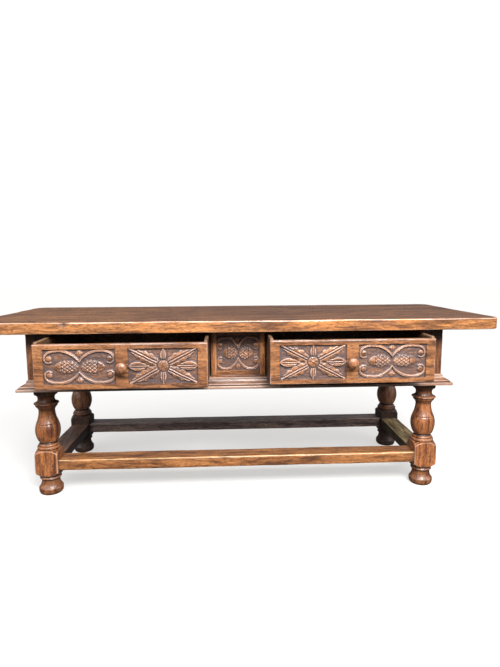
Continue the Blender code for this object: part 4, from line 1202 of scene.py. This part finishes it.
def wood(name, axis, light, middle, dark, roughness=(0.24, 0.42), grime_and_shade_colour=(0.022, 0.012, 0.009),
         rub_and_highlight_colour=None, shift=(0.0, 0.0, 0.0), stain=0.45, coat=0.30, painted_light=None):  # fmt: skip
    """Old waxed wood whose grain runs along axis (0 is X, 1 is Y, 2 is Z).

    The colour for hollows is that of grime and painted shade, in recesses and under things, and the colour
    for rubbed arrises is that of wear and painted highlights. The last colour scales the base where the
    piece's painted light attribute is set: painted light and painted reflections.
    """
    graph = Graph(name)
    place = graph.add("ShaderNodeTexCoord").outputs["Object"]
    sway = graph.add("ShaderNodeTexNoise", {"Vector": place, "Scale": 7.0, "Detail": 2.0}).outputs["Color"]
    swayed = graph.add(
        "ShaderNodeVectorMath", {0: sway, 1: (0.030, 0.030, 0.030), 2: place}, operation="MULTIPLY_ADD"
    ).outputs[0]

    def stretched(lengthwise, crosswise):
        scale = [crosswise] * 3
        scale[axis] = lengthwise
        inputs = {"Vector": swayed, "Location": shift, "Scale": scale}
        return graph.add("ShaderNodeMapping", inputs).outputs["Vector"]

    broad = graph.noise(stretched(3.2, 30.0), 1.0, 4.0, 0.62, 0.5)
    streaks = graph.noise(stretched(11.0, 110.0), 1.0, 4.0, 0.65, 0.2)
    flecks = graph.noise(stretched(70.0, 210.0), 1.0, 3.0, 0.6)
    fibres = graph.noise(stretched(16.0, 700.0), 1.0, 2.0, 0.6)
    pores = graph.noise(stretched(40.0, 1100.0), 1.0, 1.0, 0.5)
    stains = graph.noise(place, 4.3, 4.0, 0.62)

    figure = graph.math("ADD", graph.math("MULTIPLY", broad, 0.55), graph.math("MULTIPLY", streaks, 0.45))
    base = graph.ramp(figure, [(0.41, dark), (0.49, middle), (0.59, light)])
    # Painted light and painted reflection: the base colour is scaled up where this attribute is set.
    if painted_light:
        glow = graph.add("ShaderNodeAttribute", attribute_name="painted_light").outputs["Fac"]
        base = graph.mix(glow, base, colour(*painted_light), "MULTIPLY")
    base = graph.mix(graph.range(flecks, 0.51, 0.66, 0.0, 0.72), base, colour(*(c * 0.6 for c in dark)))
    base = graph.mix(graph.range(fibres, 0.40, 0.75, 0.0, 0.35), base, colour(*dark))
    pore_factor = graph.range(pores, 0.36, 0.28, 0.0, 0.55)
    base = graph.mix(pore_factor, base, colour(*(c * 0.35 for c in dark)))
    base = graph.mix(graph.range(stains, 0.54, 0.72, 0.0, stain), base, colour(*(c * 0.8 for c in dark)))

    wear_and_highlight = graph.add("ShaderNodeAttribute", attribute_name="wear_and_highlight").outputs["Fac"]
    grime_and_shade = graph.add("ShaderNodeAttribute", attribute_name="grime_and_shade").outputs["Fac"]
    # Rubbed arrises and crests take the lighter colour: wear partly, painted highlight partly.
    rub_and_highlight_tint = rub_and_highlight_colour or tuple(min(1.0, c * 1.6) for c in light)
    base = graph.mix(graph.range(wear_and_highlight, 0.10, 0.95, 0.0, 0.75), base, colour(*rub_and_highlight_tint))
    # Hollows and shaded places take the darker colour: grime partly, painted shade partly.
    base = graph.mix(graph.range(grime_and_shade, 0.05, 0.95, 0.0, 0.90), base, colour(*grime_and_shade_colour))
    graph.link(base, "Base Color")

    worn_dull = graph.range(stains, 0.3, 0.7, *roughness)
    dull = graph.math("ADD", worn_dull, graph.range(grime_and_shade, 0.1, 0.9, 0.0, 0.25))
    dull = graph.math("ADD", dull, graph.range(flecks, 0.50, 0.70, 0.0, 0.12))
    graph.link(dull, "Roughness")
    height = graph.math("ADD", graph.math("MULTIPLY", fibres, 0.5), graph.math("MULTIPLY", pore_factor, -0.9))
    height = graph.math("ADD", height, graph.math("MULTIPLY", streaks, 1.2))
    height = graph.math("ADD", height, graph.math("MULTIPLY", flecks, -0.9))
    bump = graph.add("ShaderNodeBump", {"Height": height, "Strength": 0.45, "Distance": 0.0009})
    graph.link(bump.outputs["Normal"], "Normal")
    graph.link(bump.outputs["Normal"], "Coat Normal")
    graph.shader.inputs["Specular IOR Level"].default_value = 0.5
    graph.shader.inputs["Coat Weight"].default_value = coat
    graph.shader.inputs["Coat Roughness"].default_value = 0.16
    return graph.material


# ---------------------------------------------------------------- stage, light and camera


FLOOR_REACH = 30.0
FLOOR_SHADE = (0.430, 0.420, 0.408)
FLOOR_GLOW = 1.25
BACKDROP_RADIUS = 28.0
ROOM_COLOUR = (0.93, 0.965, 1.0, 1.0)
ROOM_FRONT_STRENGTH = 2.25
ROOM_ABOVE_STRENGTH = 0.40
ROOM_LEAST_STRENGTH = 0.07
CAMERA_PLACE = (-0.043, -2.25725, 0.971)
CAMERA_TURN = (0.046, 0.133, -0.006)  # yaw, pitch down and roll in radians
CAMERA_LENS = 26.358


def plain_material(name, shade, glow):
    """A dull even colour that also glows."""
    graph = Graph(name)
    graph.shader.inputs["Base Color"].default_value = (*shade, 1.0)
    graph.shader.inputs["Roughness"].default_value = 0.9
    graph.shader.inputs["Specular IOR Level"].default_value = 0.1
    graph.shader.inputs["Emission Color"].default_value = (*shade, 1.0)
    graph.shader.inputs["Emission Strength"].default_value = glow
    return graph.material


def add_floor():
    """A pale floor that neither tints nor mirrors in the table."""
    mesh = bpy.data.meshes.new("floor")
    reach = FLOOR_REACH
    corners = [(-reach, -reach, 0), (reach, -reach, 0), (reach, reach, 0), (-reach, reach, 0)]
    mesh.from_pydata(corners, [], [(0, 1, 2, 3)])
    mesh.materials.append(plain_material("pale_floor", FLOOR_SHADE, FLOOR_GLOW))
    floor = bpy.data.objects.new("floor", mesh)
    floor.visible_diffuse = False
    floor.visible_glossy = False
    bpy.context.scene.collection.objects.link(floor)


def add_backdrop():
    """A pale dome that only the camera sees, so that it lights and reflects in nothing."""
    mesh = bpy.data.meshes.new("backdrop")
    shell = bmesh.new()
    bmesh.ops.create_uvsphere(shell, u_segments=48, v_segments=24, radius=BACKDROP_RADIUS)
    shell.to_mesh(mesh)
    shell.free()
    mesh.materials.append(plain_material("pale_backdrop", (1.0, 1.0, 1.0), 1.0))
    dome_piece = bpy.data.objects.new("backdrop", mesh)
    bpy.context.scene.collection.objects.link(dome_piece)
    dome_piece.visible_diffuse = False
    dome_piece.visible_glossy = False
    dome_piece.visible_transmission = False
    dome_piece.visible_shadow = False


def light_room():
    """Soft light from high in front, dim from behind and below."""
    world = bpy.data.worlds.new("room")
    bpy.context.scene.world = world
    world.use_nodes = True
    tree = world.node_tree
    background = tree.nodes["Background"]
    place = tree.nodes.new("ShaderNodeTexCoord")
    parts = tree.nodes.new("ShaderNodeSeparateXYZ")
    tree.links.new(place.outputs["Generated"], parts.inputs[0])

    def eased(value, low, high):
        node = tree.nodes.new("ShaderNodeMapRange")
        node.interpolation_type = "SMOOTHSTEP"
        node.inputs[1].default_value, node.inputs[2].default_value = low, high
        tree.links.new(value, node.inputs[0])
        return node.outputs[0]

    def combine(operation, first, second):
        node = tree.nodes.new("ShaderNodeMath")
        node.operation = operation
        for socket, value in zip(node.inputs, (first, second)):
            if isinstance(value, bpy.types.NodeSocket):
                tree.links.new(value, socket)
            else:
                socket.default_value = value
        return node.outputs[0]

    front = eased(parts.outputs["Y"], 0.25, -0.55)
    high = eased(parts.outputs["Z"], 0.12, 0.50)
    above = eased(parts.outputs["Z"], -0.05, 0.9)
    bright = combine("MULTIPLY", combine("MULTIPLY", front, high), ROOM_FRONT_STRENGTH)
    dim = combine("ADD", combine("MULTIPLY", above, ROOM_ABOVE_STRENGTH), ROOM_LEAST_STRENGTH)
    tree.links.new(combine("ADD", bright, dim), background.inputs["Strength"])
    background.inputs["Color"].default_value = ROOM_COLOUR


def add_softbox(name, place, target, size, power):
    """A rectangular lamp that shines from place towards target."""
    light = bpy.data.lights.new(name, "AREA")
    light.shape = "RECTANGLE"
    light.size, light.size_y = size
    light.energy = power
    lamp = bpy.data.objects.new(name, light)
    lamp.location = place
    aim = Vector(target) - Vector(place)
    lamp.rotation_euler = aim.to_track_quat("-Z", "Y").to_euler()
    bpy.context.scene.collection.objects.link(lamp)


def add_camera():
    """Standing height, a little left of the middle, looking slightly down."""
    yaw, pitch, roll = CAMERA_TURN
    forward = Vector(
        (math.sin(yaw) * math.cos(pitch), math.cos(yaw) * math.cos(pitch), -math.sin(pitch))
    )
    right = Vector((math.cos(yaw), -math.sin(yaw), 0))
    upward = right.cross(forward)
    level_right = math.cos(roll) * right + math.sin(roll) * upward
    level_up = -math.sin(roll) * right + math.cos(roll) * upward
    data = bpy.data.cameras.new("camera")
    data.sensor_width = 36.0
    data.lens = CAMERA_LENS
    camera = bpy.data.objects.new("camera", data)
    turn = Matrix((level_right, level_up, -forward)).transposed()
    camera.matrix_world = Matrix.Translation(CAMERA_PLACE) @ turn.to_4x4()
    bpy.context.scene.collection.objects.link(camera)
    bpy.context.scene.camera = camera


# ---------------------------------------------------------------- the table


def dress(nodes, material):
    """Gives CAD nodes that keep their own shape a finished material."""
    for name in nodes:
        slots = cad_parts[name].material_slots
        for slot in slots:
            slot.material = material


WOODS = {
    "top_walnut": (
        0, (0.367, 0.155, 0.066), (0.210, 0.087, 0.039), (0.082, 0.035, 0.020),
        # The last colour scales the edge band and the left of the surface: painted light and a painted
        # reflection.
        {"roughness": (0.20, 0.36), "rub_and_highlight_colour": (0.95, 0.66, 0.50), "coat": 0.35, "painted_light": (1.90, 1.85, 1.45)},
    ),
    "leg_walnut": (
        2, (0.537, 0.200, 0.069), (0.321, 0.114, 0.040), (0.094, 0.031, 0.018),
        {"rub_and_highlight_colour": (0.60, 0.38, 0.26), "coat": 0.50},
    ),
    # A copy of the leg wood for the rear legs, lighter with a dark rub colour: painted light and shade for
    # legs under the table.
    "rear_leg_painted_light_copy": (
        2, (0.678, 0.289, 0.141), (0.354, 0.156, 0.086), (0.125, 0.060, 0.040),
        {"roughness": (0.28, 0.45), "rub_and_highlight_colour": (0.20, 0.10, 0.06), "coat": 0.25},
    ),
    "rail_walnut": (
        0, (0.549, 0.226, 0.076), (0.339, 0.133, 0.045), (0.111, 0.043, 0.020),
        {"rub_and_highlight_colour": (0.85, 0.55, 0.25)},
    ),
    # The rear, left and right rails are recoloured copies of the front rail wood: painted light on the rear
    # and right rails, painted shade on the left one.
    "rear_rail_painted_light_copy": (
        0, (0.427, 0.273, 0.212), (0.230, 0.154, 0.131), (0.097, 0.066, 0.059),
        {"roughness": (0.30, 0.46)},
    ),
    "left_rail_painted_shade_copy": (
        1, (0.289, 0.144, 0.084), (0.160, 0.078, 0.048), (0.061, 0.032, 0.023),
        {"roughness": (0.34, 0.52)},
    ),
    "right_rail_painted_light_copy": (
        1, (0.737, 0.545, 0.270), (0.351, 0.231, 0.106), (0.079, 0.043, 0.022),
        {"roughness": (0.50, 0.70), "coat": 0.0},
    ),
    "case_walnut": (
        0, (0.480, 0.210, 0.095), (0.300, 0.125, 0.058), (0.110, 0.044, 0.022),
        {"rub_and_highlight_colour": (0.90, 0.68, 0.57), "coat": 0.5},
    ),
    # A darker copy of the case wood for the end aprons, the rear apron and the end mouldings: painted shade.
    "end_case_painted_shade_copy": (
        1, (0.340, 0.150, 0.070), (0.200, 0.086, 0.042), (0.075, 0.032, 0.018),
        {"rub_and_highlight_colour": (0.55, 0.33, 0.23)},
    ),
    # A lighter copy for the stiles: painted light where the drawers shade them.
    "upright_painted_light_copy": (
        2, (0.773, 0.319, 0.111), (0.480, 0.188, 0.068), (0.178, 0.067, 0.031),
        {"rub_and_highlight_colour": (0.60, 0.34, 0.18)},
    ),
    # Grey colour for the carving's hollows: grime and painted shade. Lilac-grey rub colour: wear and painted
    # highlight.
    "carved_walnut": (
        0, (0.485, 0.206, 0.080), (0.309, 0.126, 0.051), (0.109, 0.045, 0.023),
        {"grime_and_shade_colour": (0.090, 0.062, 0.060), "rub_and_highlight_colour": (0.78, 0.60, 0.54), "coat": 0.42},
    ),
    "lining_pine": (
        1, (0.186, 0.097, 0.047), (0.105, 0.054, 0.027), (0.043, 0.021, 0.012),
        {"roughness": (0.45, 0.65), "coat": 0.0},
    ),
    "peg_oak": (1, (0.20, 0.085, 0.034), (0.11, 0.045, 0.020), (0.05, 0.020, 0.010), {}),
}  # fmt: skip
# Which lit and shaded copy of the rail wood each rail takes.
RAIL_LIT_AND_SHADED_COPIES = {
    "front": "rail_walnut",
    "rear": "rear_rail_painted_light_copy",
    "left": "left_rail_painted_shade_copy",
    "right": "right_rail_painted_light_copy",
}
CASE_WOODS = ("case_walnut", "end_case_painted_shade_copy", "carved_walnut", "lining_pine", "peg_oak")


def main():
    """Makes the woods, then every piece of the table."""
    woods = {name: wood(name, *recipe[:4], **recipe[4]) for name, recipe in WOODS.items()}
    case, end_case, carved, lining, peg = (woods[name] for name in CASE_WOODS)

    make_top(woods["top_walnut"])
    for row in ROWS:
        for side in SIDES:
            make_leg(row, side, woods["leg_walnut" if row == "front" else "rear_leg_painted_light_copy"])
    make_stretchers({place: woods[name] for place, name in RAIL_LIT_AND_SHADED_COPIES.items()})
    make_case(end_case, woods["upright_painted_light_copy"])
    for name, material in (("front", case), ("rear", case), ("left", end_case), ("right", end_case)):
        make_moulding(f"moulding_{name}", material)
    make_centre_panel(carved)
    for side in SIDES:
        make_drawer(side, carved, lining, woods["leg_walnut"])
    for node in sorted(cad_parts):
        if node.startswith("peg_"):
            make_peg(node, peg)
    inside = ("runner_", "guide_")
    hidden = ("_back", "_bottom")
    dress([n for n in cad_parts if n.startswith(inside) or n.endswith(hidden)], lining)
    dress([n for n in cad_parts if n.startswith("top_peg_")], peg)
    dress(["front_bottom_rail"], case)


main()
add_floor()
add_backdrop()
light_room()
add_softbox("window", (0.70, -2.9, 2.7), (0.1, 0.0, 0.45), (1.2, 1.0), 190)
add_camera()
bpy.context.scene.view_settings.view_transform = "Standard"
